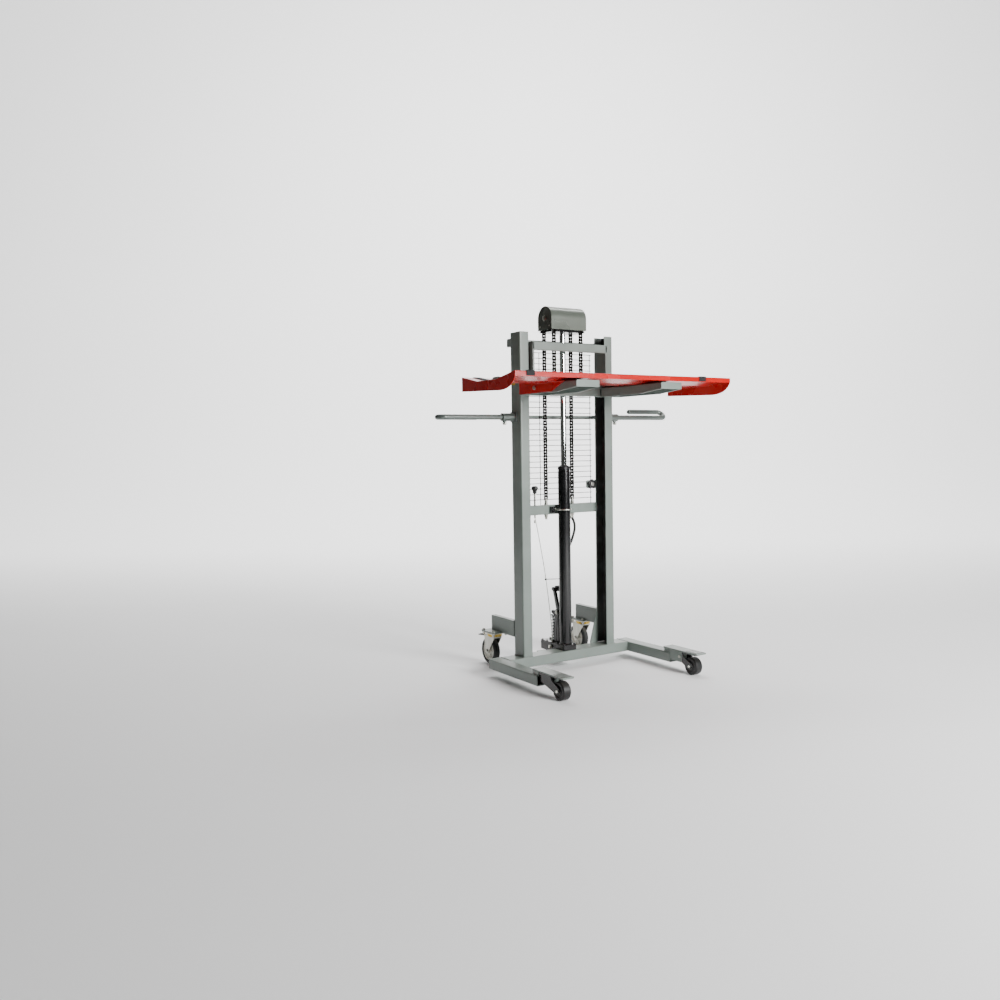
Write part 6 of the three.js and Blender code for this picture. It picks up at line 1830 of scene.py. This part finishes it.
@dataclass
class Studio:
    """Plain floor and backdrop, soft lights, and the camera."""

    place: tuple[float, float, float] = (-2.4322, -3.2291, 0.9848)
    heading: float = 32.2896
    pitch: float = 3.2916
    roll: float = 0.8875
    lens: float = 33.3566
    floor_front: float = -9.0
    bend_start: float = 5.0
    bend_radius: float = 3.0
    backdrop_top: float = 9.0
    floor_reach: Flat = (-7.4, 10.0)
    board_x: float = -2.75
    board_y: Flat = (-3.0, 8.0)
    board_z: Flat = (0.01, 5.0)

    def build(self) -> None:
        """Set everything that isn't part of the machine."""
        self.sweep_cloth()
        self.flag()
        self.lights()
        self.camera()

    def sweep_cloth(self) -> None:
        """Floor that curves up into a backdrop behind the machine, painted with light: it glows, more towards
        the back.
        """
        angle = math.radians(self.heading)
        ahead = Vector((math.sin(angle), math.cos(angle), 0))
        right = Vector((math.cos(angle), -math.sin(angle), 0))
        made = bpy.data.materials.new("studio glowing paper")
        made.use_nodes = True
        made.node_tree.nodes.clear()
        graph = Graph(made.node_tree)
        place = graph.add("ShaderNodeTexCoord").outputs["Object"]
        far = graph.add("ShaderNodeVectorMath", {0: place, 1: ahead}, operation="DOT_PRODUCT")
        # Painted light: the paper glows, from nothing in front of the machine up to full strength towards the
        # back.
        glow = graph.remap(far.outputs["Value"], 0.9, 6.5, (0.0, 1.1))
        paper = {"Base Color": (0.88, 0.88, 0.88, 1), "Roughness": 0.9,
                 "Emission Color": (1, 1, 1, 1), "Emission Strength": glow}
        shader = graph.add("ShaderNodeBsdfPrincipled", paper)
        graph.add("ShaderNodeOutputMaterial", {"Surface": shader.outputs[0]})
        profile = [(self.floor_front, 0.0), (self.bend_start, 0.0)]
        profile += [(self.bend_start + self.bend_radius * math.sin(a), self.bend_radius * (1 - math.cos(a)))
                    for a in (math.pi * k / 32 for k in range(1, 17))]
        profile += [(self.bend_start + self.bend_radius, self.backdrop_top)]
        bm = bmesh.new()
        rows = [[bm.verts.new(ahead * d + right * reach + Vector((0, 0, z))) for d, z in profile]
                for reach in self.floor_reach]
        for k in range(len(profile) - 1):
            bm.faces.new((rows[0][k], rows[1][k], rows[1][k + 1], rows[0][k + 1]))
        for face in bm.faces:
            face.smooth = True
        bmesh.ops.recalc_face_normals(bm, faces=bm.faces)
        mesh = bpy.data.meshes.new("studio_floor")
        bm.to_mesh(mesh)
        bm.free()
        mesh.materials.append(made)
        cloth = bpy.data.objects.new("studio_floor", mesh)
        bpy.context.scene.collection.objects.link(cloth)

    def flag(self) -> None:
        """Dark board on the left, outside the picture, that keeps the left sides dark."""
        made = bpy.data.materials.new("studio flag")
        made.use_nodes = True
        shader = made.node_tree.nodes["Principled BSDF"]
        shader.inputs["Base Color"].default_value = (0.02, 0.02, 0.017, 1)
        shader.inputs["Roughness"].default_value = 0.9
        bm = bmesh.new()
        (near, back), (low, high) = self.board_y, self.board_z
        corners = ((near, low), (back, low), (back, high), (near, high))
        bm.faces.new([bm.verts.new((self.board_x, y, z)) for y, z in corners])
        mesh = bpy.data.meshes.new("studio_flag")
        bm.to_mesh(mesh)
        bm.free()
        mesh.materials.append(made)
        board = bpy.data.objects.new("studio_flag", mesh)
        bpy.context.scene.collection.objects.link(board)

    @staticmethod
    def lamp(name: str, place: Iterable[float], aim: Iterable[float], size: Flat, watts: float) -> None:
        """Large soft lamp aimed at a point."""
        data = bpy.data.lights.new(name, "AREA")
        data.shape = "RECTANGLE"
        data.size, data.size_y = size
        data.energy = watts
        lamp = bpy.data.objects.new(name, data)
        lamp.location = Vector(place)
        lamp.rotation_mode = "QUATERNION"
        lamp.rotation_quaternion = (Vector(aim) - Vector(place)).to_track_quat("-Z", "Y")
        bpy.context.scene.collection.objects.link(lamp)

    def lights(self) -> None:
        """Key from the front, a weak top light and a light on the backdrop."""
        world = bpy.data.worlds.new("studio air")
        world.use_nodes = True
        world.node_tree.nodes["Background"].inputs["Color"].default_value = (1, 1, 1, 1)
        world.node_tree.nodes["Background"].inputs["Strength"].default_value = 0.04
        bpy.context.scene.world = world
        self.lamp("key", (1.0, -4.8, 2.1), (0, 0, 0.8), (1.8, 2.2), 500)
        self.lamp("top", (0.6, 0.4, 4.6), (0, 0, 0), (3.0, 3.0), 30)
        self.lamp("backdrop", (1.5, 2.0, 6.0), (4.2, 6.6, 1.0), (6.0, 2.0), 700)

    def camera(self) -> None:
        """Camera at its measured place, turned by heading, pitch and roll."""
        a, e, r = (math.radians(v) for v in (self.heading, self.pitch, self.roll))
        ahead = Vector((math.sin(a) * math.cos(e), math.cos(a) * math.cos(e), -math.sin(e)))
        right = Vector((math.cos(a), -math.sin(a), 0.0))
        up = right.cross(ahead)
        level, tall = right * math.cos(r) - up * math.sin(r), right * math.sin(r) + up * math.cos(r)
        data = bpy.data.cameras.new("camera")
        data.lens, data.sensor_width = self.lens, 36.0
        data.clip_start, data.clip_end = 0.05, 60.0
        camera = bpy.data.objects.new("camera", data)
        turn = Matrix((level, tall, -ahead)).transposed()
        camera.matrix_world = Matrix.Translation(self.place) @ turn.to_4x4()
        bpy.context.scene.collection.objects.link(camera)
        bpy.context.scene.camera = camera


def main() -> None:
    """Build the studio and every sub-assembly in order."""
    logging.basicConfig(level=logging.WARNING, format="%(name)s: %(message)s")
    Studio().build()
    cradle = RollCradle()
    for assembly in (BaseFrame(), Masts(), CrossMembers(), WireGuard(), LiftCylinder(), FootPump(),
                     HoseAndCable(), HandKnobs(), Handles(), LiftHead(), Carriage(), cradle,
                     FrontWheels(), RearCasters()):
        assembly.build()
    Straps().build(cradle)
    LOG.info("%d pieces made", BENCH.made)


if __name__ == "__main__":
    main()
